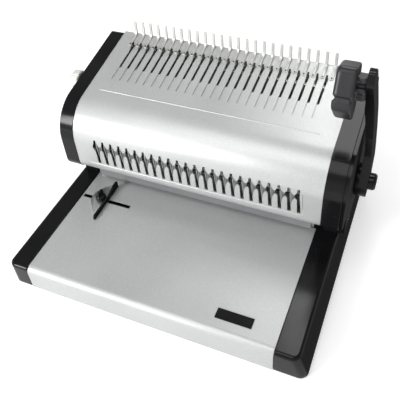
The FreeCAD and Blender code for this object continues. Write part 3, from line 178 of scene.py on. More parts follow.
paper.links.new(seen.outputs[0], lift.inputs[0])
paper.links.new(lift.outputs[0], paper_shader.inputs["Emission Strength"])
floor.data.materials.append(floor_finish)
print("floor finish:", floor_finish.name)

# %% [markdown]
# ## Shared surface effects
# Real surfaces are never one flat colour: paint has flakes, mouldings have a fine grain, ground
# steel has lines, and hands leave duller patches. Each effect is a node group that is built once
# and placed in every material that needs it, with its own scale. The first is the grain.

# %% Grain group


def new_group(name, output, **numbers):
    """A node group that takes a vector and named numbers, and puts out one number."""
    group = bpy.data.node_groups.new(name, "ShaderNodeTree")
    group.interface.new_socket("Vector", in_out="INPUT", socket_type="NodeSocketVector")
    for label, start in numbers.items():
        socket = group.interface.new_socket(label, in_out="INPUT", socket_type="NodeSocketFloat")
        socket.default_value = start
    group.interface.new_socket(output, in_out="OUTPUT", socket_type="NodeSocketFloat")
    return group, group.nodes.new("NodeGroupInput"), group.nodes.new("NodeGroupOutput")


def grain_group():
    """Tiny bumps of a moulded or sprayed surface."""
    group, start, end = new_group("fine_grain", "Height", Scale=900.0, Detail=2.0)
    noise = group.nodes.new("ShaderNodeTexNoise")
    group.links.new(start.outputs["Vector"], noise.inputs["Vector"])
    group.links.new(start.outputs["Scale"], noise.inputs["Scale"])
    group.links.new(start.outputs["Detail"], noise.inputs["Detail"])
    group.links.new(noise.outputs["Fac"], end.inputs["Height"])
    return group


GRAIN = grain_group()
print("group:", GRAIN.name)

# %% [markdown]
# Patches are a slow noise. Its values lie close to one half, so they are stretched from there to
# cover the whole range between two colours.

# %% Patch group


def cloud_group():
    """Soft patches, as handling and uneven spraying leave them."""
    group, start, end = new_group("handled_patches", "Mask", Scale=14.0, Contrast=0.18)
    noise = group.nodes.new("ShaderNodeTexNoise")
    noise.inputs["Detail"].default_value = 4.0
    low = group.nodes.new("ShaderNodeMath")
    low.operation = "SUBTRACT"
    low.inputs[0].default_value = 0.5
    high = group.nodes.new("ShaderNodeMath")
    high.operation = "ADD"
    high.inputs[0].default_value = 0.5
    spread = group.nodes.new("ShaderNodeMapRange")
    group.links.new(start.outputs["Vector"], noise.inputs["Vector"])
    group.links.new(start.outputs["Scale"], noise.inputs["Scale"])
    group.links.new(start.outputs["Contrast"], low.inputs[1])
    group.links.new(start.outputs["Contrast"], high.inputs[1])
    group.links.new(noise.outputs["Fac"], spread.inputs["Value"])
    group.links.new(low.outputs[0], spread.inputs["From Min"])
    group.links.new(high.outputs[0], spread.inputs["From Max"])
    group.links.new(spread.outputs[0], end.inputs["Mask"])
    return group


PATCHES = cloud_group()
print("group:", PATCHES.name)

# %% [markdown]
# Flakes are cells with one value each. Ground lines are a noise that is stretched along X.

# %% Flake and line groups


def flake_group():
    """Small cells with a value each: flakes in paint, or the spangle of zinc."""
    group, start, end = new_group("flakes", "Mask", Scale=1400.0)
    cells = group.nodes.new("ShaderNodeTexVoronoi")
    parts = group.nodes.new("ShaderNodeSeparateColor")
    group.links.new(start.outputs["Vector"], cells.inputs["Vector"])
    group.links.new(start.outputs["Scale"], cells.inputs["Scale"])
    group.links.new(cells.outputs["Color"], parts.inputs["Color"])
    group.links.new(parts.outputs["Red"], end.inputs["Mask"])
    return group


def line_group():
    """Lines that run along X, as a grinding wheel leaves them."""
    group, start, end = new_group("ground_lines", "Height", Along=12.0, Across=1600.0)
    stretch = group.nodes.new("ShaderNodeCombineXYZ")
    product = group.nodes.new("ShaderNodeVectorMath")
    product.operation = "MULTIPLY"
    noise = group.nodes.new("ShaderNodeTexNoise")
    noise.inputs["Scale"].default_value = 1.0
    noise.inputs["Detail"].default_value = 3.0
    group.links.new(start.outputs["Along"], stretch.inputs["X"])
    group.links.new(start.outputs["Across"], stretch.inputs["Y"])
    group.links.new(start.outputs["Across"], stretch.inputs["Z"])
    group.links.new(start.outputs["Vector"], product.inputs[0])
    group.links.new(stretch.outputs[0], product.inputs[1])
    group.links.new(product.outputs[0], noise.inputs["Vector"])
    group.links.new(noise.outputs["Fac"], end.inputs["Height"])
    return group


FLAKES, LINES = flake_group(), line_group()
print("groups:", FLAKES.name, LINES.name)

# %% [markdown]
# Glossy plastic that is seen at a shallow angle mirrors the white floor, which the photo doesn't show
# on the outer sides of the cheeks and the arm. A mask for faces that look along X finds them.

# %% Side group


def side_group():
    """Picks out the faces that look along X, from a surface's own normal."""
    group, start, end = new_group("side_faces", "Mask", Start=0.7)
    parts = group.nodes.new("ShaderNodeSeparateXYZ")
    size = group.nodes.new("ShaderNodeMath")
    size.operation = "ABSOLUTE"
    step = group.nodes.new("ShaderNodeMapRange")
    step.interpolation_type = "SMOOTHSTEP"
    step.inputs["From Max"].default_value = 0.97
    group.links.new(start.outputs["Vector"], parts.inputs[0])
    group.links.new(parts.outputs["X"], size.inputs[0])
    group.links.new(size.outputs[0], step.inputs["Value"])
    group.links.new(start.outputs["Start"], step.inputs["From Min"])
    group.links.new(step.outputs[0], end.inputs["Mask"])
    return group


SIDES = side_group()
print("group:", SIDES.name)

# %% [markdown]
# ## Finishes
# One function wires a Principled shader the same way for every finish: patches move the colour
# and the roughness between two values, a second pattern speckles the colour, and a relief pattern
# feeds the bump. Faces that look along X can be made matter. Values that are the same all over sit
# on the shader itself.

# %% Finish function
BUMP_STRENGTH = 0.6
SPECK_STRENGTH = 0.8


def placed(tree, group, coordinates, **values):
    """A node group in a material, fed with object coordinates."""
    node = tree.nodes.new("ShaderNodeGroup")
    node.node_tree = group
    tree.links.new(coordinates, node.inputs["Vector"])
    for label, amount in values.items():
        node.inputs[label].default_value = amount
    return node.outputs[0]


def blend(tree, mask, first, second):
    """A colour between two, by a mask; either end may be a plain colour or another node's output."""
    mix = tree.nodes.new("ShaderNodeMix")
    mix.data_type = "RGBA"
    tree.links.new(mask, mix.inputs["Factor"])
    for socket, colour in ((mix.inputs[6], first), (mix.inputs[7], second)):
        if isinstance(colour, tuple):
            socket.default_value = (*colour, 1.0)
        else:
            tree.links.new(colour, socket)
    return mix.outputs[2]


def finish(
    name, dark, light, rough, patches=16.0, speck=None, relief=None, depth=0.0, matt_sides=0.0,
    **shader_values
):
    """A material: two colours, a range of roughness, optional specks, a relief and matter side faces."""
    made = bpy.data.materials.new(name)
    made.use_nodes = True
    tree = made.node_tree
    shader = tree.nodes["Principled BSDF"]
    coordinates = tree.nodes.new("ShaderNodeTexCoord")
    spots = coordinates.outputs["Object"]
    mask = placed(tree, PATCHES, spots, Scale=patches)
    colour = blend(tree, mask, dark, light)
    if speck:
        scale, share, tint = speck
        cells = placed(tree, FLAKES, spots, Scale=scale)
        few = tree.nodes.new("ShaderNodeMapRange")
        few.inputs["From Min"].default_value = 1.0 - share
        few.inputs["To Max"].default_value = SPECK_STRENGTH
        tree.links.new(cells, few.inputs["Value"])
        colour = blend(tree, few.outputs[0], colour, tint)
    tree.links.new(colour, shader.inputs["Base Color"])
    shine = tree.nodes.new("ShaderNodeMapRange")
    shine.inputs["To Min"].default_value = rough[0]
    shine.inputs["To Max"].default_value = rough[1]
    tree.links.new(mask, shine.inputs["Value"])
    roughness = shine.outputs[0]
    if matt_sides:
        matter = tree.nodes.new("ShaderNodeMath")
        matter.operation = "MULTIPLY_ADD"
        tree.links.new(placed(tree, SIDES, coordinates.outputs["Normal"]), matter.inputs[0])
        matter.inputs[1].default_value = matt_sides
        tree.links.new(roughness, matter.inputs[2])
        roughness = matter.outputs[0]
    tree.links.new(roughness, shader.inputs["Roughness"])
    if relief:
        group, values = relief
        bump = tree.nodes.new("ShaderNodeBump")
        bump.inputs["Distance"].default_value = depth
        bump.inputs["Strength"].default_value = BUMP_STRENGTH
        tree.links.new(placed(tree, group, spots, **values), bump.inputs["Height"])
        tree.links.new(bump.outputs[0], shader.inputs["Normal"])
    for label, amount in shader_values.items():
        shader.inputs[label.replace("_", " ")].default_value = amount
    return made


print("finish() is ready")

# %% [markdown]
# The colours are linear. Those of the outer pieces were tuned until the picture came near the tones
# of the photo. Silver paint is partly metal, under a thin coat. The black mouldings are glossy, with a
# low specular level that keeps the white room out of them.

# %% Finishes
SPRAY = (GRAIN, {"Scale": 700.0, "Detail": 2.0})
MOULD = (GRAIN, {"Scale": 1500.0, "Detail": 3.0})
SMOOTH = (GRAIN, {"Scale": 160.0, "Detail": 1.0})
GROUND = (LINES, {"Along": 10.0, "Across": 1500.0})

FINISHES = {
    "silver_sheet": finish(
        "silver_paint", (0.42, 0.43, 0.425), (0.455, 0.465, 0.46), (0.36, 0.44), 9.0,
        (1500.0, 0.35, (0.54, 0.55, 0.54)), SPRAY, 0.00004,
        Metallic=0.35, Coat_Weight=0.1, Coat_Roughness=0.3,
    ),
    "black_plastic": finish(
        "black_moulding", (0.0045, 0.0045, 0.005), (0.0075, 0.0075, 0.0085), (0.13, 0.20), 18.0,
        (2200.0, 0.2, (0.011, 0.011, 0.012)), MOULD, 0.00002, matt_sides=0.85, Specular_IOR_Level=0.18,
    ),
    "grip_plastic": finish(
        "soft_grip", (0.012, 0.0115, 0.0135), (0.018, 0.017, 0.020), (0.34, 0.46), 30.0,
        (2400.0, 0.25, (0.026, 0.025, 0.029)), MOULD, 0.00006, matt_sides=0.4, Specular_IOR_Level=0.35,
    ),
    "white_plastic": finish(
        "white_moulding", (0.56, 0.56, 0.52), (0.63, 0.63, 0.59), (0.28, 0.40), 40.0,
        None, SMOOTH, 0.00005, Coat_Weight=0.2,
    ),
    "grey_plastic": finish(
        "grey_moulding", (0.16, 0.16, 0.17), (0.20, 0.20, 0.21), (0.45, 0.6), 12.0,
        (1800.0, 0.2, (0.24, 0.24, 0.25)), MOULD, 0.00006,
    ),
    "rubber": finish(
        "foot_rubber", (0.018, 0.018, 0.018), (0.028, 0.027, 0.026), (0.7, 0.85), 60.0, None, MOULD, 0.0001,
    ),
    "steel_plate": finish(
        "rolled_steel", (0.42, 0.42, 0.42), (0.50, 0.50, 0.49), (0.32, 0.48), 10.0, None, GROUND, 0.00003,
        Metallic=1.0,
    ),
    "zinc_steel": finish(
        "zinc_plate", (0.52, 0.53, 0.52), (0.62, 0.62, 0.60), (0.28, 0.42), 25.0,
        (420.0, 0.6, (0.70, 0.70, 0.68)), SMOOTH, 0.00003, Metallic=1.0,
    ),
    "tool_steel": finish(
        "ground_tool_steel", (0.30, 0.30, 0.31), (0.38, 0.38, 0.38), (0.22, 0.34), 20.0, None, GROUND,
        0.00003, Metallic=1.0,
    ),
    "dark_steel": finish(
        "blackened_steel", (0.012, 0.012, 0.011), (0.028, 0.026, 0.022), (0.4, 0.55), 40.0,
        (900.0, 0.3, (0.05, 0.046, 0.038)), MOULD, 0.00004, Metallic=0.6,
    ),
    "light_steel": finish(
        "nickel_plate", (0.44, 0.44, 0.42), (0.52, 0.52, 0.50), (0.38, 0.48), 60.0,
        (900.0, 0.3, (0.58, 0.58, 0.56)), SMOOTH, 0.00003, Metallic=0.5,
    ),
    "spring_steel": finish(
        "oiled_wire", (0.28, 0.28, 0.28), (0.40, 0.40, 0.39), (0.2, 0.32), 50.0, None, GROUND, 0.00003,
        Metallic=1.0,
    ),
    "bronze": finish(
        "turned_bronze", (0.50, 0.34, 0.16), (0.60, 0.43, 0.22), (0.28, 0.42), 60.0, None, GROUND, 0.00003,
        Metallic=1.0,
    ),
    "plate_black": finish(
        "gloss_plate", (0.006, 0.006, 0.006), (0.010, 0.010, 0.010), (0.30, 0.38), 30.0,
        None, SMOOTH, 0.00004, Specular_IOR_Level=0.06,
    ),
    "screw_black": finish(
        "blackened_screw", (0.012, 0.012, 0.012), (0.022, 0.022, 0.022), (0.3, 0.42), 80.0, None, GROUND,
        0.00003, Metallic=0.5,
    ),
}
print("finishes:", len(FINISHES))

# %% [markdown]
# ## Who wears what
# The record names a finish for each solid. The table below says the same for Blender, by body, and
# the loop puts the material into the slots of the solids that stay as they are.

# %% Dress the solids
WEARS = {
    "base": {
        "silver_sheet": ["tray_plate", "head_cover", "rear_panel", "slot_backing", "throat_guard"],
        "black_plastic": ["left_rail", "right_rail", "left_cap", "right_cap", "knob_boss"],
        "steel_plate": ["base_pan"],
        "rubber": ["rubber_feet"],
        "zinc_steel": [
            "left_side_frame", "right_side_frame", "rake_rails", "tie_rods", "depth_stop", "rod_brackets",
            "pan_screws",
        ],
        "light_steel": ["comb_tines"],
        "dark_steel": ["tine_rivets"],
        "tool_steel": ["die_plate", "stripper_plate", "die_spacers", "guide_rods"],
        "bronze": ["shaft_bushes"],
        "spring_steel": ["return_springs"],
        "grey_plastic": ["drawer_runners"],
        "plate_black": ["bare_plate"],
        "screw_black": ["cap_screws", "rear_screws"],
    },
    "handle": {
        "tool_steel": ["main_shaft"],
        "zinc_steel": ["left_crank", "right_crank"],
        "black_plastic": ["handle_arm", "pivot_washer", "pivot_cap"],
        "grip_plastic": ["handle_grip"],
    },
    "punch": {
        "zinc_steel": ["punch_bar", "punch_yokes"],
        "bronze": ["rod_bushes"],
        "tool_steel": ["punch_pins"],
    },
    "rake": {"zinc_steel": ["rake_bar", "rake_arms"], "dark_steel": ["rake_hooks"]},
    "opening_stop": {"white_plastic": ["stop_knob"], "zinc_steel": ["knob_shaft", "stop_cam"]},
    "drawer": {"grey_plastic": ["chip_drawer"], "black_plastic": ["drawer_front"]},
    "guide": {"zinc_steel": ["guide_plate", "guide_nut"], "black_plastic": ["guide_wall"]},
    "guide_screw": {"black_plastic": ["guide_knob"]},
}
HOME = {}
for body, finishes in WEARS.items():
    for slot_name, labels in finishes.items():
        for label in labels:
            HOME[label] = (body, slot_name)
            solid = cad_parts[label]
            if not solid.material_slots:
                solid.data.materials.append(None)
            for place in solid.material_slots:
                place.material = FINISHES[slot_name]
print("dressed:", len(HOME), "missing:", sorted(set(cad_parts) - set(HOME)))

# %% [markdown]
# ## Helpers for new pieces
# A new piece is a bmesh that is shaped by operators and then stored as an object at the origin.
# It rides on the same body and takes the same finish as the solid that it stands for. Weighted
# normals keep its large faces flat beside small roundings.

# %% Keeping a piece


def keep(name, shape, label, replaces=True, sharp=35.0, finish_slot=None):
    """Stores a bmesh as a piece that belongs with a solid."""
    body, slot_name = HOME[label]
    slot_name = finish_slot or slot_name
    piece = stored(name, shape)
    mesh = piece.data
    mesh.polygons.foreach_set("use_smooth", [True] * len(mesh.polygons))
    mesh.set_sharp_from_angle(angle=radians(sharp))
    mesh.materials.append(FINISHES[slot_name])
    flat = piece.modifiers.new("flat_faces", "WEIGHTED_NORMAL")
    flat.keep_sharp = True
    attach(piece, body)
    if replaces:
        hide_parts(label)
    print("%-20s %6d faces, for %s" % (name, len(mesh.polygons), label))
    return piece


print("keep() is ready")

# %% [markdown]
# A solid's mesh is loose triangles, so a copy of it is merged before anything else. Modifiers that
# have to act at once are read back from the evaluated object.

# %% Working copies
SAME_POINT = 0.01 * MM
SAME_PLANE = radians(0.5)


def merged(label, flat_faces=False):
    """A copy of a solid's mesh with its triangles joined, and with whole flat faces where asked."""
    shape = bmesh.new()
    shape.from_mesh(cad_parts[label].data)
    bmesh.ops.remove_doubles(shape, verts=shape.verts, dist=SAME_POINT)
    if flat_faces:
        bmesh.ops.dissolve_limit(shape, angle_limit=SAME_PLANE, verts=shape.verts, edges=shape.edges)
    return shape


def applied(thing):
    """The shape that an object has after its modifiers, as a new bmesh."""
    ready = thing.evaluated_get(bpy.context.evaluated_depsgraph_get())
    shape = bmesh.new()
    shape.from_mesh(bpy.data.meshes.new_from_object(ready))
    return shape


def joined(shapes):
    """Several shapes in one."""
    whole = bmesh.new()
    for shape in shapes:
        part = bpy.data.meshes.new("part")
        shape.to_mesh(part)
        shape.free()
        whole.from_mesh(part)
        bpy.data.meshes.remove(part)
    return whole


def bevelled(shape, edges, width, segments):
    """Rounds some edges of a shape."""
    bmesh.ops.bevel(
        shape, geom=edges, offset=width, offset_type="OFFSET", affect="EDGES", segments=segments,
        profile=0.5, material=-1, clamp_overlap=True,
    )
    return shape


print("copies and joins are ready")

# %% [markdown]
# ## Soft edges
# Moulded plastic and bent sheet never have knife edges, and a thin bright line along an edge is
# most of what tells the eye that a thing is real. A copy of each solid in the list below gets a
# small rounding where two faces meet at more than 30 degrees.

# %% Soft edges
SHARP_EDGE = radians(30.0)
EDGE_WIDTHS = {
    "left_rail": 1.6,
    "right_rail": 1.6,
    "left_cap": 0.9,
    "right_cap": 1.0,
    "handle_arm": 1.6,
    "drawer_front": 0.7,
    "guide_wall": 0.7,
    "guide_plate": 0.4,
    "comb_tines": 0.5,
    "rake_hooks": 0.4,
    "bare_plate": 0.25,
}
for label, width in EDGE_WIDTHS.items():
    shape = merged(label, flat_faces=True)
    edges = [e for e in shape.edges if e.is_manifold and e.calc_face_angle() > SHARP_EDGE]
    keep(label + "_soft", bevelled(shape, edges, width * MM, 2), label)

# %% [markdown]
# ## Round pieces
# Feet, knobs, caps and screw heads are turned: a half outline is spun once round Z. An outline is
# pairs of radius and height, as shares of the piece's own. A piece can be seated with its foot in the
# middle of one side of its solid's box.

# %% Turning


def turned(outline, radius, height, steps=48):
    """A round piece about Z from an outline, stretched to a radius and a height."""
    shape = bmesh.new()
    spots = [shape.verts.new((across * radius, 0.0, up * height)) for across, up in outline]
    edges = [shape.edges.new(pair) for pair in zip(spots, spots[1:])]
    bmesh.ops.spin(
        shape, geom=spots + edges, cent=(0, 0, 0), axis=(0, 0, 1), angle=2 * pi, steps=steps, use_merge=True
    )
    bmesh.ops.remove_doubles(shape, verts=shape.verts, dist=0.001 * MM)
    bmesh.ops.recalc_face_normals(shape, faces=shape.faces)
    return shape


def laid(shape, foot, direction):
    """Turns a shape's Z axis to a direction and moves its origin to a point."""
    turn = Vector((0, 0, 1)).rotation_difference(Vector(direction)).to_matrix().to_4x4()
    bmesh.ops.transform(shape, matrix=Matrix.Translation(foot) @ turn, verts=shape.verts)
    return shape


def seated(shape, label, direction):
    """Lays a shape on the side of a solid's box that a direction along an axis leads away from."""
    low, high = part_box(label)
    half = (high - low) / 2
    foot = low + half - Vector(way * reach for way, reach in zip(direction, half))
    return laid(shape, foot, direction)


print("turning is ready")

# %% [markdown]
# The rubber feet have a moulded hollow in their soles, and a rounded rim. Their outline is in
# millimetres.

# %% Feet
FOOT_RADIUS = 11.0 * MM
FOOT_OUTLINE = (
    (0.0, 1.2), (3.4, 1.2), (3.9, 0.8), (4.2, 0.0), (9.6, 0.0), (10.6, 0.4), (11.0, 1.2), (10.7, 3.0),
    (0.0, 3.0),
)
low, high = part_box("rubber_feet")
feet = []
for x in (low.x + FOOT_RADIUS, high.x - FOOT_RADIUS):
    for y in (low.y + FOOT_RADIUS, high.y - FOOT_RADIUS):
        feet.append(laid(turned(FOOT_OUTLINE, MM, MM, 36), (x, y, 0.0), (0, 0, 1)))
keep("rubber_feet_turned", joined(feet), "rubber_feet")

# %% [markdown]
# ## The nose
# Between two slots the real sheet is cut: a white tooth hangs from above, a rounded one rises from
# below, and a leaning strip shows between them. The row of slots has the comb's pitch. An outline
# in X and Z, drawn out towards the rear, makes a cutting block for each opening.

# %% Nose row
PITCH = 14.2875 * MM
SLOTS = 24
NOSE_MIDDLE = -6.0 * MM
FACE = -19.0 * MM
SHEET = 1.5 * MM
RIB_TOP, RIB_LOW = 158.5 * MM, 112.5 * MM
SLOT_LEAN = 2.4 * MM


def along_row(count):
    """The place along X of a rib, counted from the left end of the row."""
    return NOSE_MIDDLE + (count - SLOTS / 2) * PITCH


def drawn_out(outline, centre, near, depth, lean=0.0):
    """A block from an outline in millimetres round a place along X; it may lean as it goes down."""
    shape = bmesh.new()
    corners = []
    for x, z in outline:
        slide = lean * (RIB_TOP - z * MM) / (RIB_TOP - RIB_LOW)
        corners.append(shape.verts.new((centre + x * MM + slide, near, z * MM)))
    made = bmesh.ops.extrude_face_region(shape, geom=[shape.faces.new(corners)])["geom"]
    back = [piece for piece in made if isinstance(piece, bmesh.types.BMVert)]
    bmesh.ops.translate(shape, vec=(0, depth, 0), verts=back)
    bmesh.ops.recalc_face_normals(shape, faces=shape.faces)
    return shape


print("ribs from", round(along_row(1), 4), "to", round(along_row(SLOTS - 1), 4))

# %% [markdown]
# The cuts go right through the sheet, apart from the groove. The row ends in half an opening at the
# left and in a thin groove at the right.

# %% Openings between the slots
OPENING = (
    (-5.1, 155.5), (-3.4, 151.0), (-1.6, 148.2), (0.2, 147.0), (2.0, 148.2), (3.8, 151.0), (5.1, 155.0),
    (5.5, 134.5), (4.2, 138.6), (2.4, 140.6), (0.6, 140.0), (-1.2, 137.4), (-3.0, 132.6), (-4.0, 126.0),
    (-4.6, 119.5),
)
HALF_OPENING = ((1.8, 144.5), (3.8, 150.6), (5.1, 155.0), (5.5, 134.5), (4.4, 139.0), (3.0, 141.5))
GROOVE = ((-1.4, 151.0), (-0.4, 151.0), (0.8, 121.0), (-0.2, 121.0))
blocks = [
    drawn_out(OPENING, along_row(rib), FACE - SHEET, 3 * SHEET, SLOT_LEAN) for rib in range(1, SLOTS)
]
blocks.append(drawn_out(HALF_OPENING, along_row(0), FACE - SHEET, 3 * SHEET))
blocks.append(drawn_out(GROOVE, along_row(SLOTS), FACE - SHEET, 1.5 * SHEET))
print("cutting blocks:", len(blocks))

# %% [markdown]
# The slots themselves lean to the right and widen as they go down, so the corners at their lower
# ends move first. Then an exact Boolean takes the blocks away, and is applied at once.

# %% Nose cover
SLOT_FLARE = 0.4
CORNER_REACH = 0.2 * MM


def carved(shape, blocks):
    """A shape less some blocks."""
    whole = stored("carved_shape", shape)
    tools = stored("carving_blocks", blocks)
    cut = whole.modifiers.new("cut", "BOOLEAN")
    cut.operation = "DIFFERENCE"
    cut.solver = "EXACT"
    cut.object = tools
    result = applied(whole)
    bpy.data.objects.remove(whole)
    bpy.data.objects.remove(tools)
    return result


cover = merged("head_cover", flat_faces=True)
ends = [v for v in cover.verts if abs(v.co.z - RIB_LOW) < CORNER_REACH and v.co.y < FACE + 2 * SHEET]
for spot in ends:
    slot_place = (round((spot.co.x - NOSE_MIDDLE) / PITCH - 0.5) + 0.5) * PITCH
    spot.co.x += SLOT_LEAN + SLOT_FLARE * (spot.co.x - NOSE_MIDDLE - slot_place)
print("slot corners that lean:", len(ends))
keep("nose_cover", carved(cover, joined(blocks)), "head_cover")

# %% [markdown]
# Behind each opening stands a thin strip that narrows to the left as it goes down. Its grey finish, darker
# than the sheet, is painted shade: it shows as a grey tongue in the opening, where the tooth above shades
# the recess, and leaves the right side dark. The photo doesn't show what holds the strips, and here they
# stand free behind the sheet.

# %% Strips behind the openings, in painted shade
STRIP_DEPTH = 4.5 * MM
STRIP_THICK = 1.0 * MM
STRIP_OUTLINE = ((-5.0, 158.5), (-4.8, 118.0), (-2.4, 118.0), (0.6, 138.0), (3.0, 158.5))
# Their darker grey finish is painted shade for the recess behind the sheet.
recess_shades = [
    drawn_out(STRIP_OUTLINE, along_row(rib), FACE + STRIP_DEPTH, STRIP_THICK) for rib in range(1, SLOTS)
]
keep("nose_painted_shade", joined(recess_shades), "head_cover", replaces=False, finish_slot="grey_plastic")

# %% [markdown]
# Under the nose, a thin strip of grey plastic lies on the guard that closes the throat. Its grey is painted
# shade, for the shadow that the nose casts into the gap below it. It is a block with bevelled edges.

# %% Throat strip in painted shade
THROAT_THICK = 0.8 * MM
THROAT_EDGE = 0.25 * MM
THROAT_SHORTER, THROAT_LOWER = 0.6 * MM, 1.0 * MM


def block(size, centre):
    """A box of a size round a centre."""
    shape = bmesh.new()
    bmesh.ops.create_cube(shape, size=1.0)
    bmesh.ops.scale(shape, vec=size, verts=shape.verts)
    bmesh.ops.translate(shape, vec=centre, verts=shape.verts)
    return shape


low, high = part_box("throat_guard")
size = (high.x - low.x - THROAT_SHORTER, THROAT_THICK, high.z - low.z - THROAT_LOWER)
centre = ((low.x + high.x) / 2, low.y - THROAT_THICK / 2, (low.z + high.z) / 2)
# The grey finish of this block is painted shade under the nose.
throat_shade = block(size, centre)
bevelled(throat_shade, throat_shade.edges[:], THROAT_EDGE, 2)
keep("throat_painted_shade", throat_shade, "throat_guard", replaces=False, finish_slot="grey_plastic")

# %% [markdown]
# ## The grip
# The grip is soft plastic over a core: a thick upper part, a crease, and a rounder lower part that
# the fingers close on. A copy of the solid is remeshed into small even faces and smoothed, less so
# on the ribbed neck. Then points near a plane across the grip move inwards and make the crease.

# %% Grip
GRIP_FACE = 1.3 * MM
NECK_START = 25.0 * MM
BODY_PASSES, NECK_PASSES = 7, 2
CREASE_DEPTH = 3.2 * MM
CREASE_HALF = 4.5 * MM
CREASE_BACK, CREASE_UP = 26.0 * MM, 36.5 * MM


def smoothed(shape, passes, chosen):
    """Relaxes the points that a test picks."""
    for _ in range(passes):
        bmesh.ops.smooth_vert(
            shape, verts=[v for v in shape.verts if chosen(v)], factor=0.5,
            use_axis_x=True, use_axis_y=True, use_axis_z=True,
        )


core = stored("grip_core", merged("handle_grip"))
even = core.modifiers.new("even", "REMESH")
even.mode = "VOXEL"
even.voxel_size = GRIP_FACE
grip = applied(core)
bpy.data.objects.remove(core)
low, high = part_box("handle_grip")
neck_x = low.x + NECK_START
smoothed(grip, BODY_PASSES, lambda v: v.co.x < neck_x)
smoothed(grip, NECK_PASSES, lambda v: v.co.x >= neck_x)
grip.normal_update()
crease_point = Vector((0, low.y + CREASE_BACK, low.z + CREASE_UP))
crease_across = Vector((0, 0.52, 0.85)).normalized()
moves = {}
for spot in grip.verts:
    away = (spot.co - crease_point).dot(crease_across)
    if spot.co.x < neck_x and abs(away) < CREASE_HALF:
        moves[spot] = spot.normal * (-CREASE_DEPTH * cos(away / CREASE_HALF * pi / 2) ** 2)
for spot, step in moves.items():
    spot.co += step
print("points in the crease:", len(moves))
keep("handle_grip_soft", grip, "handle_grip", sharp=80)

# %% [markdown]
# ## The return springs
# The two springs under the punch bar stand on the base and get shorter as the bar comes down. Here they are
# a copy of their solid with a mesh of its own.

# %% Springs
low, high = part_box("return_springs")
springs = keep("return_springs_coils", merged("return_springs"), "return_springs")
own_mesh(springs)

# %% [markdown]
# ## The knobs
# The white knob has a dished face and finger flutes round its rim. The cap over the pivot has a
# chamfer and a round recess, as it is the head of the screw that holds the arm. Both are a little
# smaller than their solids' boxes.

# %% Knobs
KNOB_OUTLINE = (
    (0.0, 0.0), (0.86, 0.0), (0.95, 0.06), (1.0, 0.16), (1.0, 0.72), (0.96, 0.86), (0.86, 0.96), (0.70, 1.0),
    (0.62, 0.97), (0.4, 0.92), (0.0, 0.9),
)
CAP_OUTLINE = (
    (0.0, 0.0), (1.0, 0.0), (1.0, 0.68), (0.97, 0.8), (0.88, 0.93), (0.74, 1.0), (0.46, 1.0), (0.43, 0.95),
    (0.43, 0.5), (0.0, 0.5),
)
KNOB_SHARE, CAP_SHARE = 0.92, 0.93
FLUTE_START = 0.75
KNOB_FLUTE = 0.9 * MM


def fluted(shape, count, radius, depth):
    """Draws in the rim of a turned piece about Z at even steps."""
    for spot in shape.verts:
        out = sqrt(spot.co.x ** 2 + spot.co.y ** 2)
        if out > FLUTE_START * radius:
            turn = atan2(spot.co.y, spot.co.x)
            share = (out / radius - FLUTE_START) / (1 - FLUTE_START)
            dip = max(0.0, cos(count * turn)) ** 2 * depth * share
            spot.co.x -= dip * cos(turn)
            spot.co.y -= dip * sin(turn)
    return shape


low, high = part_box("stop_knob")
radius = (high.z - low.z) / 2 * KNOB_SHARE
knob = fluted(turned(KNOB_OUTLINE, radius, high.x - low.x, 120), 12, radius, KNOB_FLUTE)
keep("stop_knob_fluted", seated(knob, "stop_knob", (-1, 0, 0)), "stop_knob")

low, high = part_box("pivot_cap")
cap = turned(CAP_OUTLINE, (high.z - low.z) / 2 * CAP_SHARE, high.x - low.x, 72)
keep("pivot_cap_turned", seated(cap, "pivot_cap", (1, 0, 0)), "pivot_cap")

# %% [markdown]
# The clamp of the side guide is a small round base with a wing across it. The wing is a block whose
# top is pinched, with a generous bevel, as fingers turn it. Its length is given in radii of the base
# and its heights as shares of the solid's.

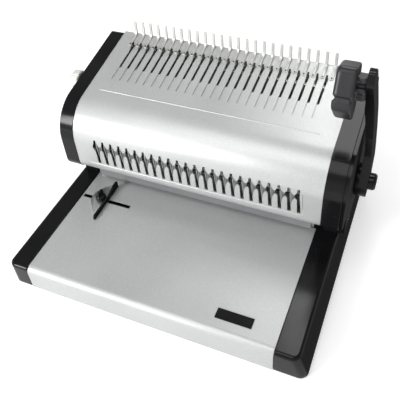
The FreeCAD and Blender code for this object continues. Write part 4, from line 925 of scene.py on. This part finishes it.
# %% Guide clamp
CLAMP_RIM_EDGE = 0.5 * MM
WING_THICK = 5.2 * MM
WING_EDGE = 1.3 * MM
WING_LENGTH, WING_HEIGHT, WING_MIDDLE = 1.84, 0.62, 0.69
WING_PINCH_X, WING_PINCH_Y = 0.75, 0.86
CLAMP_FLUTE = 0.35 * MM
low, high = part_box("guide_knob")
radius = (high.x - low.x) / 2
height = high.z - low.z
clamp_outline = (
    (0.0, 0.0), (0.96, 0.0), (1.0, CLAMP_RIM_EDGE / height), (1.0, 0.34), (0.94, 0.42), (0.72, 0.5),
    (0.5, 0.53), (0.0, 0.54),
)
clamp_base = fluted(turned(clamp_outline, radius, height, 60), 15, radius, CLAMP_FLUTE)
wing_middle = height * WING_MIDDLE
wing = block((WING_THICK, radius * WING_LENGTH, height * WING_HEIGHT), (0, 0, wing_middle))
for spot in wing.verts:
    if spot.co.z > wing_middle:
        spot.co.x *= WING_PINCH_X
        spot.co.y *= WING_PINCH_Y
bevelled(wing, wing.edges[:], WING_EDGE, 4)
keep("guide_knob_winged", seated(joined([clamp_base, wing]), "guide_knob", (0, 0, 1)), "guide_knob")

# %% [markdown]
# ## Screws
# Every screw head is the same turned pan head with a socket. Its size and place come from the plain
# disc that stands for it in the solid: on the cheeks, on the rear panel and under the base.

# %% Screws
SCREW_OUTLINE = (
    (0.0, 0.0), (1.0, 0.0), (1.0, 0.45), (0.93, 0.72), (0.74, 0.94), (0.5, 1.0), (0.46, 0.9), (0.44, 0.35),
    (0.0, 0.35),
)


def separate_discs(label):
    """The corner points of each separate body in a solid."""
    shape = merged(label)
    left = set(shape.verts)
    found = []
    for start in shape.verts:
        if start not in left:
            continue
        left.remove(start)
        group = [start]
        for spot in group:
            for edge in spot.link_edges:
                other = edge.other_vert(spot)
                if other in left:
                    left.remove(other)
                    group.append(other)
        found.append([v.co.copy() for v in group])
    shape.free()
    return found


def screwed(label, axis, way=None):
    """Screw heads in place of a solid's discs, along an axis; without a way they point outwards."""
    heads = []
    for points in separate_discs(label):
        foot = sum(points, Vector()) / len(points)
        ends = [min(v[axis] for v in points), max(v[axis] for v in points)]
        side = [v[(axis + 1) % 3] for v in points]
        out = way or (1 if foot[axis] > 0 else -1)
        foot[axis] = ends[0] if out > 0 else ends[1]
        direction = [0, 0, 0]
        direction[axis] = out
        head = turned(SCREW_OUTLINE, (max(side) - min(side)) / 2, ends[1] - ends[0], 24)
        heads.append(laid(head, foot, direction))
    keep(label[:-1] + "_heads", joined(heads), label)


screwed("cap_screws", 0)
screwed("rear_screws", 1, way=1)
screwed("pan_screws", 2, way=-1)

# %% [markdown]
# ## End

# %% End
print("the machine is dressed")
